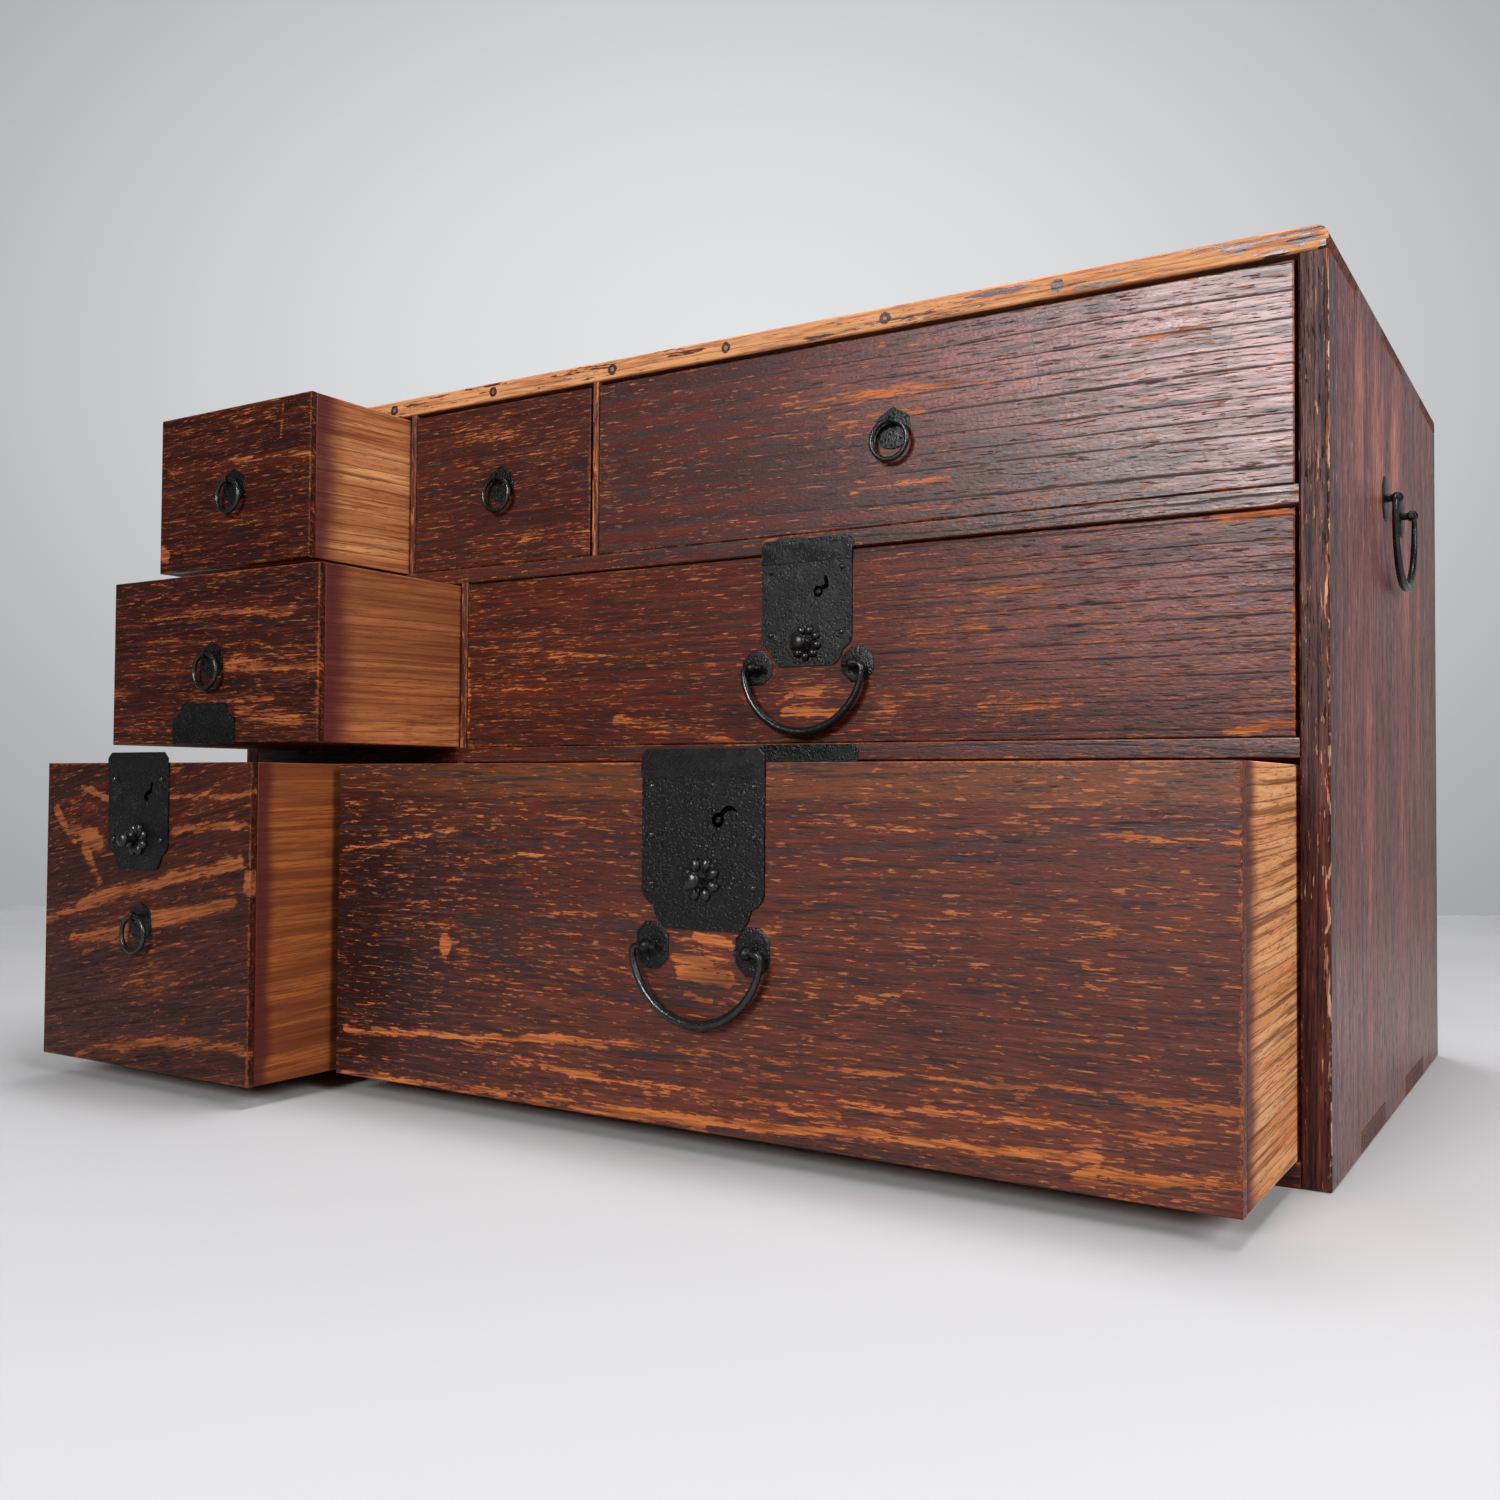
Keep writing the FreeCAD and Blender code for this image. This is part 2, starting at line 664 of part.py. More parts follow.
def lock(spec):
    """A push-button lock about the middle of a drawer's top edge."""
    width = spec["width"]
    high = spec["rise"]
    low = high - spec["height"]
    seam = high - spec["strip"]
    knob_z = high - spec["knob_drop"]
    travel = bolt_recess + spec["headroom"] + spec["engagement"]
    stroke = spec["stroke"]
    ratio = travel / stroke
    wall = thick_front * pocket_wall_share
    ramp_front = wall + ramp_setback
    foot_front = ramp_front + ramp_gap
    foot_back = foot_front + (travel + 2 * stem_radius) / ratio
    bar_front = foot_back - bolt_thickness
    shoulder = knob_z + stem_radius + bolt_shoulder
    bolt_low = knob_z - stem_radius - travel
    bolt = prism_x([(foot_front, knob_z + stem_radius), (foot_front, shoulder), (bar_front, shoulder),
                    (bar_front, -bolt_recess), (foot_back, -bolt_recess), (foot_back, bolt_low)],
                   -bolt_width / 2, bolt_width / 2)
    back_of_head = -lock_plate_thickness - rosette_thickness - petal_rise - stroke
    knob = moved(knob_solid(back_of_head, ramp_front, ratio), 0, 0, knob_z)

    key_x = width * keyhole_side_share
    key_z = high - width * keyhole_drop_share
    pocket_half = bolt_width / 2 + pocket_margin
    pocket_low = bolt_low - pocket_headroom
    pocket_high = shoulder + travel + pocket_headroom
    cover_face = thick_front - cover_thickness
    cover = block(-pocket_half - cover_margin, pocket_half + cover_margin, cover_face, thick_front,
                  pocket_low - cover_margin, pocket_high + cover_margin)

    plate = plate_from(lock_outline(width, low, 0), -lock_plate_thickness, 0)
    strip = plate_from(clipped_outline(width + 2 * lock_strip_overhang, seam, high, lock_strip_corner),
                       -lock_plate_thickness - lock_strip_thickness, -lock_plate_thickness)
    stem_hole = flat_rod_y(stem_radius + stem_gap, 0, knob_z, -lock_plate_thickness - cut_over,
                           wall + cut_over, turned_flats)
    key_cut = moved(keyhole(width), key_x, 0, key_z)
    post_end = keyhole_depth + keyhole_post_seat
    post = flat_rod_y(keyhole_post_radius, key_x, key_z, -lock_plate_thickness, post_end)
    inset = width / 2 - nail_inset
    rows = [seam - nail_inset + nail_head_radius, low + width * corner_rise_share + nail_inset / 2]
    if spec["nail_rows"] > 2:
        rows.append((rows[0] + rows[1]) / 2)
    places = [(side * inset, z) for z in rows for side in (-1, 1)]
    holes = [nail_hole(x, z, -lock_plate_thickness) for x, z in places]
    plate = cut_all(plate, [stem_hole, key_cut] + holes)
    flower = moved(rosette(spec["rosette"], spec["petals"], spec["root_share"]), 0, 0, knob_z)
    fixed = [plate, strip, flower, cover, post]
    fixed += [nail(x, z, -lock_plate_thickness) for x, z in places]

    slot_front = bar_front - bolt_gap
    slot_back = foot_back + bolt_gap
    slot_half = bolt_width / 2 + bolt_gap
    cuts = [
        block(-pocket_half, pocket_half, wall, thick_front + cut_over, pocket_low, pocket_high),
        block(-slot_half, slot_half, slot_front, slot_back, pocket_low, cut_over),
        block(-pocket_half - cover_margin, pocket_half + cover_margin, cover_face, thick_front + cut_over,
              pocket_low - cover_margin, pocket_high + cover_margin),
        stem_hole,
        flat_rod_y(keyhole_radius, key_x, key_z, -cut_over, keyhole_depth, turned_flats),
        flat_rod_y(keyhole_post_radius + fixed_gap, key_x, key_z, -cut_over, post_end + fixed_gap),
    ] + holes
    mortise = block(-slot_half, slot_half, slot_front, slot_back, 0, travel - bolt_recess + bolt_gap)
    return {"fixed": fixed, "knob": knob, "bolt": bolt, "cuts": cuts, "mortise": mortise,
            "travel": travel, "stroke": stroke, "knob_z": knob_z, "low": low}


def rail_strike(width, height, mortise_cut):
    """An angle plate on a rail's face and under its lower edge, which is at z = 0."""
    face = plate_from(clipped_outline(width, -rail_strike_thickness, height, strike_corner),
                      -rail_strike_thickness, 0)
    under = block(-width / 2, width / 2, 0, rail_depth, -rail_strike_thickness, 0)
    return face.fuse(under).removeSplitter().cut(mortise_cut)


def drawer_strike():
    """A plate on a drawer's lower edge with hollowed upper corners."""
    half = drawer_strike_width / 2
    high = drawer_strike_height
    notch = drawer_strike_width * strike_notch_width_share
    fall = high - drawer_strike_height * strike_notch_height_share
    bow = notch / 5
    hollow = flat_point(half - notch / 2 - bow, (fall + high) / 2 - bow)
    right = [flat_point(half, 0), flat_point(half, fall), hollow, flat_point(half - notch, high)]
    left = [flat_point(-p.x, p.z) for p in right]
    edges = [line(left[0], right[0]), line(right[0], right[1]), arc(right[1], right[2], right[3]),
             line(right[3], left[3]), arc(left[3], left[2], left[1]), line(left[1], left[0])]
    plate = plate_from(edges, -drawer_strike_thickness, 0)
    low = nail_inset
    top = high - nail_inset
    places = [(-half + nail_inset, low), (half - nail_inset, low), (0, top)]
    holes = [nail_hole(x, z, -drawer_strike_thickness) for x, z in places]
    nails = [nail(x, z, -drawer_strike_thickness) for x, z in places]
    return {"fixed": [cut_all(plate, holes)] + nails, "cuts": holes}


def drawer_place(bay_left, bay_width, floor, room, headroom, opening):
    """The box that a drawer fills, at rest."""
    return {
        "x0": bay_left + left_gap,
        "x1": bay_left + bay_width - right_gap,
        "y0": front_plane - opening,
        "y1": front_plane - opening + drawer_length,
        "z0": floor + running_gap,
        "z1": floor + room - headroom,
        "opening": opening,
    }


def drawer_boards(place, front, lap, side, cuts):
    """Front, sides, back and bottom of one drawer."""
    x0, x1, y0, y1, z0, z1 = (place[key] for key in ("x0", "x1", "y0", "y1", "z0", "z1"))
    inner0 = x0 + side
    inner1 = x1 - side
    board = eased_front(block(x0, x1, y0, y0 + front, z0, z1), y0, front_ease)
    rabbets = [
        block(x0 - cut_over, inner0, y0 + lap, y0 + front + cut_over, z0 - cut_over, z1 + cut_over),
        block(inner1, x1 + cut_over, y0 + lap, y0 + front + cut_over, z0 - cut_over, z1 + cut_over),
        block(inner0 - cut_over, inner1 + cut_over, y0 + front - bottom_seat, y0 + front + cut_over,
              z0 - cut_over, z0 + drawer_bottom_thickness),
    ]
    board = cut_all(board, rabbets + cuts)
    low = z0 + drawer_bottom_thickness
    high = z1 - back_drop
    step = (high - low) / drawer_finger_count
    rear = block(inner0, inner1, y1 - drawer_back_thickness, y1, low, high)
    tongues = []
    for i in range(1, drawer_finger_count, 2):
        tongues.append(block(x0, x1, y1 - drawer_back_thickness, y1, low + i * step, low + (i + 1) * step))
    rear = rear.multiFuse(tongues).removeSplitter()
    left = block(x0, inner0, y0 + lap, y1, z0, z1)
    right = block(inner1, x1, y0 + lap, y1, z0, z1)
    walls = [left.cut(rear), right.cut(rear), rear]
    bottom = block(inner0, inner1, y0 + front - bottom_seat, y1, z0, low)
    return board, walls, bottom


# The seven drawers' places
top_divider_one = inner_left + small_bay_width
top_middle_bay = top_divider_one + top_divider_thickness
top_divider_two = top_middle_bay + small_bay_width
top_wide_bay = top_divider_two + top_divider_thickness
middle_divider_left = inner_left + middle_left_bay_width
middle_wide_bay = middle_divider_left + middle_divider_thickness
bottom_divider_left = inner_left + bottom_left_bay_width
bottom_wide_bay = bottom_divider_left + bottom_divider_thickness
bottom_row_height = lower_rail_bottom - bottom_thickness

places = {
    "top_left": drawer_place(inner_left, small_bay_width, upper_rail_top, top_row_height,
                             top_row_headroom, top_left_opening),
    "top_middle": drawer_place(top_middle_bay, small_bay_width, upper_rail_top, top_row_height,
                               top_row_headroom, 0),
    "top_wide": drawer_place(top_wide_bay, inner_right - top_wide_bay, upper_rail_top, top_row_height,
                             top_row_headroom, 0),
    "middle_left": drawer_place(inner_left, middle_left_bay_width, lower_rail_top, middle_row_height,
                                middle_row_headroom, middle_left_opening),
    "middle_wide": drawer_place(middle_wide_bay, inner_right - middle_wide_bay, lower_rail_top,
                                middle_row_height, middle_row_headroom, 0),
    "bottom_left": drawer_place(inner_left, bottom_left_bay_width, bottom_thickness, bottom_row_height,
                                bottom_row_headroom, bottom_left_opening),
    "bottom_wide": drawer_place(bottom_wide_bay, inner_right - bottom_wide_bay, bottom_thickness,
                                bottom_row_height, bottom_row_headroom, bottom_wide_opening),
}
fronts = {name: thin_front if name.startswith("top") else thick_front for name in places}
laps = {name: wide_lap if name.endswith("wide") else narrow_lap for name in places}
sides = {name: deep_side_thickness if name == "bottom_wide" else drawer_side_thickness for name in places}
locks = {
    "middle_wide": lock({"width": middle_lock_width, "height": middle_lock_height, "rise": middle_lock_rise,
                         "strip": middle_lock_strip, "knob_drop": middle_lock_knob_drop,
                         "headroom": middle_row_headroom, "engagement": bolt_engagement,
                         "stroke": thick_front * stroke_share, "nail_rows": 2,
                         "rosette": middle_rosette_radius, "petals": 9, "root_share": bead_root_share}),
    "bottom_wide": lock({"width": wide_lock_width, "height": wide_lock_height, "rise": wide_lock_rise,
                         "strip": wide_lock_strip, "knob_drop": wide_lock_knob_drop,
                         "headroom": bottom_row_headroom, "engagement": bolt_engagement,
                         "stroke": thick_front * stroke_share, "nail_rows": 3,
                         "rosette": wide_rosette_radius, "petals": 10, "root_share": 0}),
    "bottom_left": lock({"width": left_lock_width, "height": left_lock_height, "rise": left_lock_rise,
                         "strip": left_lock_strip, "knob_drop": left_lock_knob_drop,
                         "headroom": bottom_row_headroom,
                         "engagement": rail_height + running_gap + long_bolt_engagement,
                         "stroke": thick_front * long_stroke_share, "nail_rows": 2,
                         "rosette": left_rosette_radius, "petals": 9, "root_share": bead_root_share}),
}
lock_offsets = {
    "middle_wide": middle_lock_offset,
    "bottom_wide": wide_lock_offset,
    "bottom_left": left_lock_offset,
}


def ring_height(name, share):
    return places[name]["z0"] + share * (places[name]["z1"] - places[name]["z0"])


pulls = {
    "top_left": (top_left_ring_offset, ring_height("top_left", top_ring_height_share)),
    "top_middle": (top_middle_ring_offset, ring_height("top_middle", top_ring_height_share)),
    "top_wide": (top_wide_ring_offset, ring_height("top_wide", top_ring_height_share)),
    "middle_left": (middle_left_ring_offset, ring_height("middle_left", middle_ring_height_share)),
    "bottom_left": (bottom_left_ring_offset, places["bottom_left"]["z1"] + locks["bottom_left"]["low"]
                    - bottom_left_ring_drop_below_lock),
}
bails = {
    "middle_wide": (middle_bail_drop_below_lock, middle_bail_spread),
    "bottom_wide": (bottom_bail_drop_below_lock, bottom_bail_spread),
}


def middle_of(name):
    return (places[name]["x0"] + places[name]["x1"]) / 2


def shut(name):
    """The lock's mortise, where it lies when the drawer is shut."""
    return moved(locks[name]["mortise"], lock_spots[name][0], front_plane, places[name]["z1"])


nodes = {}
joint_points = {}
front_cuts = {name: [] for name in places}

# Ring pulls
for name, (offset, height) in pulls.items():
    spot = (middle_of(name) + offset, places[name]["y0"], height)
    nodes[name + "_pull_mount"] = [moved(s, *spot) for s in ring_mount(fronts[name])]
    nodes[name + "_ring"] = [moved(ring(), *spot)]
    joint_points[name + "_ring"] = (spot[0], spot[1] - ring_plate_thickness - ring_eye_reach, spot[2])
    front_cuts[name].append(flat_rod_y(ring_leg_radius + fixed_gap, spot[0], spot[2], spot[1] - cut_over,
                                       spot[1] + fronts[name] + cut_over))

# Locks
lock_spots = {}
for name, parts in locks.items():
    place = places[name]
    spot = (middle_of(name) + lock_offsets[name], place["y0"], place["z1"])
    lock_spots[name] = spot
    nodes[name + "_lock_plate"] = [moved(s, *spot) for s in parts["fixed"]]
    nodes[name + "_lock_knob"] = [moved(parts["knob"], *spot)]
    nodes[name + "_lock_bolt"] = [moved(parts["bolt"], *spot)]
    front_cuts[name] += [moved(s, *spot) for s in parts["cuts"]]

# Bail handles of the two wide locked drawers
for name, (drop, spread) in bails.items():
    spot = (lock_spots[name][0], places[name]["y0"], places[name]["z1"] + locks[name]["low"] - drop)
    nodes[name + "_bail_mounts"] = [moved(s, *spot) for s in bail_mounts(spread, thick_front)]
    nodes[name + "_bail"] = [moved(bail(drawer_bail_width, drawer_bail_drop, spread), *spot)]
    joint_points[name + "_bail"] = (spot[0], spot[1] - bail_plate_thickness - bail_eye_reach, spot[2])
    for side in (-1, 1):
        front_cuts[name].append(flat_rod_y(bail_neck_radius + fixed_gap, spot[0] + side * spread / 2,
                                           spot[2], spot[1] - cut_over, spot[1] + thick_front + cut_over))

# Strike plate of the lower left lock's long bolt, in the drawer above it
strike = drawer_strike()
strike_spot = (lock_spots["bottom_left"][0], places["middle_left"]["y0"], places["middle_left"]["z0"])
nodes["middle_left_strike_plate"] = [moved(s, *strike_spot) for s in strike["fixed"]]
front_cuts["middle_left"] += [moved(s, *strike_spot) for s in strike["cuts"]]
shift = places["middle_left"]["y0"] - front_plane
long_mortise = shut("bottom_left")
bolt_way = moved(long_mortise, 0, shift, 0)
front_cuts["middle_left"].append(bolt_way)
bottom_cuts = {name: [] for name in places}
bottom_cuts["middle_left"].append(bolt_way)

# Boards of the drawers
for name, place in places.items():
    board, walls, bottom = drawer_boards(place, fronts[name], laps[name], sides[name], front_cuts[name])
    nodes[name + "_drawer_front"] = [board]
    nodes[name + "_drawer_walls"] = walls
    nodes[name + "_drawer_bottom"] = [cut_all(bottom, bottom_cuts[name])]

# Rails, shelves and the plates that the bolts enter
middle_mortise = shut("middle_wide")
wide_mortise = shut("bottom_wide")
upper_shelf = shelf_with_rail(upper_rail_top, [middle_mortise])
lower_shelf = shelf_with_rail(lower_rail_top, [wide_mortise, long_mortise])
nodes["upper_rail_and_shelf"] = upper_shelf
nodes["lower_rail_and_shelf"] = lower_shelf
middle_strike_spot = (lock_spots["middle_wide"][0], front_plane, upper_rail_bottom)
wide_strike_spot = (lock_spots["bottom_wide"][0], front_plane, lower_rail_bottom)
middle_hole = moved(middle_mortise, *[-value for value in middle_strike_spot])
wide_hole = moved(wide_mortise, *[-value for value in wide_strike_spot])
nodes["rail_strike_plates"] = [
    moved(rail_strike(middle_strike_width, middle_strike_height, middle_hole), *middle_strike_spot),
    moved(rail_strike(wide_strike_width, wide_strike_height, wide_hole), *wide_strike_spot),
]

# Dividers
nodes["top_row_dividers"] = [
    divider(top_divider_one, top_divider_thickness, upper_rail_top, top_underside),
    divider(top_divider_two, top_divider_thickness, upper_rail_top, top_underside),
]
nodes["middle_divider"] = [divider(middle_divider_left, middle_divider_thickness, lower_rail_top,
                                   upper_rail_top - shelf_thickness).cut(upper_shelf[0])]
nodes["bottom_divider"] = [divider(bottom_divider_left, bottom_divider_thickness, bottom_thickness,
                                   lower_rail_top - shelf_thickness).cut(lower_shelf[0])]

# Carrying handles on the two sides
handle_holes = []
handle_mounts = []
for side, turn, face in (("left", -90, -half_width), ("right", 90, half_width)):
    spot = (face, 0, carrying_handle_height, turn)
    mounts = bail_mounts(carrying_bail_spread, side_thickness - clinch_thickness)
    handle_mounts += [moved(s, *spot) for s in mounts]
    handle = bail(carrying_bail_width, carrying_bail_drop, carrying_bail_spread)
    nodes[side + "_carrying_handle"] = [moved(handle, *spot)]
    outward = math.copysign(1, face)
    joint_points[side + "_carrying_handle"] = (face + outward * (bail_plate_thickness + bail_eye_reach), 0,
                                               carrying_handle_height)
    for place in (-carrying_bail_spread / 2, carrying_bail_spread / 2):
        hole = flat_rod_y(bail_neck_radius + fixed_gap, place, 0, -cut_over, side_thickness + cut_over)
        handle_holes.append(moved(hole, *spot))
        recess = block(-clinch_length / 2 - fixed_gap, clinch_length / 2 + fixed_gap,
                       side_thickness - clinch_thickness, side_thickness + cut_over,
                       -clinch_width / 2 - fixed_gap, clinch_width / 2 + fixed_gap)
        handle_holes.append(moved(moved(recess, place, 0, 0), *spot))
nodes["carrying_handle_mounts"] = handle_mounts

# Case boards
envelope = case_envelope()
peg_z = case_height - top_thickness / 2
peg_spots = [-half_width + share * case_width for share in peg_place_shares]
peg_end = front_plane + peg_length
peg_holes = [flat_rod_y(peg_radius + fixed_gap, x, peg_z, front_plane - cut_over, peg_end, peg_flats)
             for x in peg_spots]
nodes["case_pegs"] = [flat_rod_y(peg_radius, x, peg_z, front_plane, peg_end, peg_flats) for x in peg_spots]
top_board = block(-half_width, half_width, front_plane, half_depth, top_underside, case_height)
top_board = cut_all(top_board, corner_blocks(top_underside - cut_over, case_height + cut_over, 1))
top_board = eased_front(top_board.common(envelope), front_plane, edge_ease)
nodes["top_board"] = [cut_all(top_board, peg_holes)]
bottom_board = block(-half_width, half_width, front_plane, half_depth, 0, bottom_thickness)
nodes["bottom_board"] = [cut_all(bottom_board, corner_blocks(-cut_over, bottom_thickness + cut_over, 0))]
side_cuts = corner_blocks(top_underside, case_height + cut_over, 0)
side_cuts += corner_blocks(-cut_over, bottom_thickness, 1)
side_cuts += upper_shelf + lower_shelf + handle_holes
for side, x0, x1 in (("left", -half_width, inner_left), ("right", inner_right, half_width)):
    panel = block(x0, x1, front_plane, half_depth, 0, case_height).common(envelope)
    panel = eased_front(panel, front_plane, edge_ease)
    nodes[side + "_side_panel"] = [cut_all(panel, side_cuts)]
back_step = (top_underside - bottom_thickness) / back_board_count
nodes["back_boards"] = [
    block(inner_left, inner_right, back_inside, half_depth, bottom_thickness + i * back_step,
          bottom_thickness + (i + 1) * back_step)
    for i in range(back_board_count)
]

os.makedirs("parts", exist_ok=True)
for name, solids in nodes.items():
    shape = solids[0] if len(solids) == 1 else Part.makeCompound(solids)
    shape.exportStep("parts/" + name + ".step")
print(len(nodes), "nodes,", sum(len(s.Solids) for group in nodes.values() for s in group), "solids")
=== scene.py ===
# A clothing chest of seven drawers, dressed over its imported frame. Metres, front towards -Y.
import json
import math

import bpy
from mathutils import Matrix, Vector

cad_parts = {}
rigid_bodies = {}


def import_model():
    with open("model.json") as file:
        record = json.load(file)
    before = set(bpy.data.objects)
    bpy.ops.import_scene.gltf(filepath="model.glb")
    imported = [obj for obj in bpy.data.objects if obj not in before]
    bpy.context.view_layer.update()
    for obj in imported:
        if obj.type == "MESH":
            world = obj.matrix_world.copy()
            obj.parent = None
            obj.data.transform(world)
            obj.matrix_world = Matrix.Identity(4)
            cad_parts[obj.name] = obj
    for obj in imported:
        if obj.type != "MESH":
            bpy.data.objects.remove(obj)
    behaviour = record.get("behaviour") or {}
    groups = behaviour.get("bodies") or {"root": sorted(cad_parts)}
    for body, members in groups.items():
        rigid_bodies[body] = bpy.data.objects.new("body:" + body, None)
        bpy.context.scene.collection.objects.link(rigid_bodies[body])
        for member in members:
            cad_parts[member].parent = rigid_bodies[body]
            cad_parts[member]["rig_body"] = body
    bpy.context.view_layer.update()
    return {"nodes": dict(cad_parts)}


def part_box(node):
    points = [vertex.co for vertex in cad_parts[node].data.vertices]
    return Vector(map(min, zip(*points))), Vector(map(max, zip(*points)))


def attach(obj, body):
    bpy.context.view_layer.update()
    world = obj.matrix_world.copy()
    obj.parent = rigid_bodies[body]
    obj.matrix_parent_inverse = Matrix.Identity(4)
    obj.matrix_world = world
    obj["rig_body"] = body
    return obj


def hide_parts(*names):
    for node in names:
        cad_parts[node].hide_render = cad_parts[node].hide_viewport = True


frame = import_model()
nodes = frame["nodes"]
mm = 0.001
print("frame loaded,", len(nodes), "nodes")

# Camera, at the photograph's place

view = {
    "place": (0.5557, -0.9995, 0.2048),
    "yaw": 32.056,
    "pitch": 1.499,
    "roll": 0.3875,
    "lens": 34.04,
    "sensor": 36.0,
}


def addCamera():
    yaw = Matrix.Rotation(math.radians(view["yaw"]), 4, "Z")
    pitch = Matrix.Rotation(math.radians(90 + view["pitch"]), 4, "X")
    roll = Matrix.Rotation(math.radians(view["roll"]), 4, "Z")
    bpy.ops.object.camera_add(location=view["place"], rotation=(yaw @ pitch @ roll).to_euler())
    camera = bpy.context.object
    camera.name = "viewCamera"
    camera.data.lens = view["lens"]
    camera.data.sensor_width = view["sensor"]
    camera.data.clip_start = 0.02
    camera.data.clip_end = 60
    bpy.context.scene.camera = camera


addCamera()


# Node trees

def isSocket(value):
    return isinstance(value, bpy.types.NodeSocket)


def feed(tree, node, inputs):
    for key, value in inputs.items():
        if isSocket(value):
            tree.links.new(value, node.inputs[key])
        else:
            node.inputs[key].default_value = value


def addNode(tree, kind, inputs=None, **settings):
    node = tree.nodes.new(kind)
    for key, value in settings.items():
        setattr(node, key, value)
    feed(tree, node, inputs or {})
    return node


def nodeFrom(kind, inputs, **settings):
    # a node in the tree of the first socket that feeds it
    tree = next(value.id_data for value in inputs.values() if isSocket(value))
    return addNode(tree, kind, inputs, **settings)


def math2(operation, a, b=0.0, clamp=False):
    return nodeFrom("ShaderNodeMath", {0: a, 1: b}, operation=operation, use_clamp=clamp).outputs[0]


def plus(a, b, clamp=False):
    return math2("ADD", a, b, clamp)


def minus(a, b, clamp=False):
    return math2("SUBTRACT", a, b, clamp)


def times(a, b):
    return math2("MULTIPLY", a, b)


def most(a, b):
    return math2("MAXIMUM", a, b)


def least(a, b):
    return math2("MINIMUM", a, b)


def vector2(operation, a, b):
    return nodeFrom("ShaderNodeVectorMath", {0: a, 1: b}, operation=operation).outputs[0]


def stretched(vector, share):
    return nodeFrom("ShaderNodeVectorMath", {0: vector, "Scale": share}, operation="SCALE").outputs[0]


def lengthOf(vector):
    return nodeFrom("ShaderNodeVectorMath", {0: vector}, operation="LENGTH").outputs["Value"]


def parted(vector):
    return nodeFrom("ShaderNodeSeparateXYZ", {0: vector}).outputs


def scaled(vector, x, y, z):
    return vector2("MULTIPLY", vector, (x, y, z))


def noise(vector, scale=1.0, detail=3.0, roughness=0.55):
    inputs = {"Vector": vector, "Scale": scale, "Detail": detail, "Roughness": roughness}
    return nodeFrom("ShaderNodeTexNoise", inputs)


def mixed(share, a, b):
    return nodeFrom("ShaderNodeMix", {0: share, 6: a, 7: b}, data_type="RGBA", blend_type="MIX").outputs[2]


def eased(value, low, high, bottom=0.0, top=1.0):
    inputs = {"Value": value, "From Min": low, "From Max": high, "To Min": bottom, "To Max": top}
    return nodeFrom("ShaderNodeMapRange", inputs, interpolation_type="SMOOTHSTEP").outputs[0]


def bumped(surface, height, distance):
    inputs = {"Strength": 1.0, "Distance": distance, "Height": height}
    surface["Normal"].id_data.links.new(nodeFrom("ShaderNodeBump", inputs).outputs[0], surface["Normal"])


def colour(red, green, blue):
    # from a colour as it is seen, 0 to 255
    parts = [value / 255 for value in (red, green, blue)]
    return tuple(p / 12.92 if p <= 0.04045 else ((p + 0.055) / 1.055) ** 2.4 for p in parts) + (1.0,)


def newGroup(name, inputs, outputs):
    group = bpy.data.node_groups.new(name, "ShaderNodeTree")
    for title, kind, value in inputs:
        socket = group.interface.new_socket(title, in_out="INPUT", socket_type=kind)
        socket.default_value = value
    for title, kind in outputs:
        group.interface.new_socket(title, in_out="OUTPUT", socket_type=kind)
    start = group.nodes.new("NodeGroupInput")
    end = group.nodes.new("NodeGroupOutput")
    return group, start.outputs, end.inputs


def placeGroup(tree, group, inputs):
    node = tree.nodes.new("ShaderNodeGroup")
    node.node_tree = group
    feed(tree, node, inputs)
    return node.outputs


def newMaterial(name):
    material = bpy.data.materials.new(name)
    material.use_nodes = True
    tree = material.node_tree
    place = addNode(tree, "ShaderNodeTexCoord").outputs["Object"]
    return material, tree, tree.nodes["Principled BSDF"].inputs, place


# Stage: a pale floor that meets a pale wall, square to the view

stage = {
    "wallAway": 2.36,
    "half": 7.0,
    "surround": (178, 179, 182),
    "fadeFrom": (0.0, 1.14),
    "fade": (1.8, 3.4),
    "wallMiddle": (0.0, 0.93),
    "wallFade": (0.42, 0.62),
    "wallTones": ((226, 227, 229), (152, 153, 156)),
    "floorDrop": 0.0004,
    "floorFade": (-0.6, 2.3),
    "floorTones": ((226, 226, 228), (184, 184, 186)),
    "cloudTone": (212, 213, 216),
    "markTone": (150, 150, 152),
    "bounceTone": (118, 116, 116),
}


def stageMaterial(name, shade):
    material = bpy.data.materials.new(name)
    material.use_nodes = True
    tree = material.node_tree
    place = addNode(tree, "ShaderNodeTexCoord").outputs["Object"]
    shade(tree, place, tree.nodes["Principled BSDF"], tree.nodes["Material Output"])
    return material


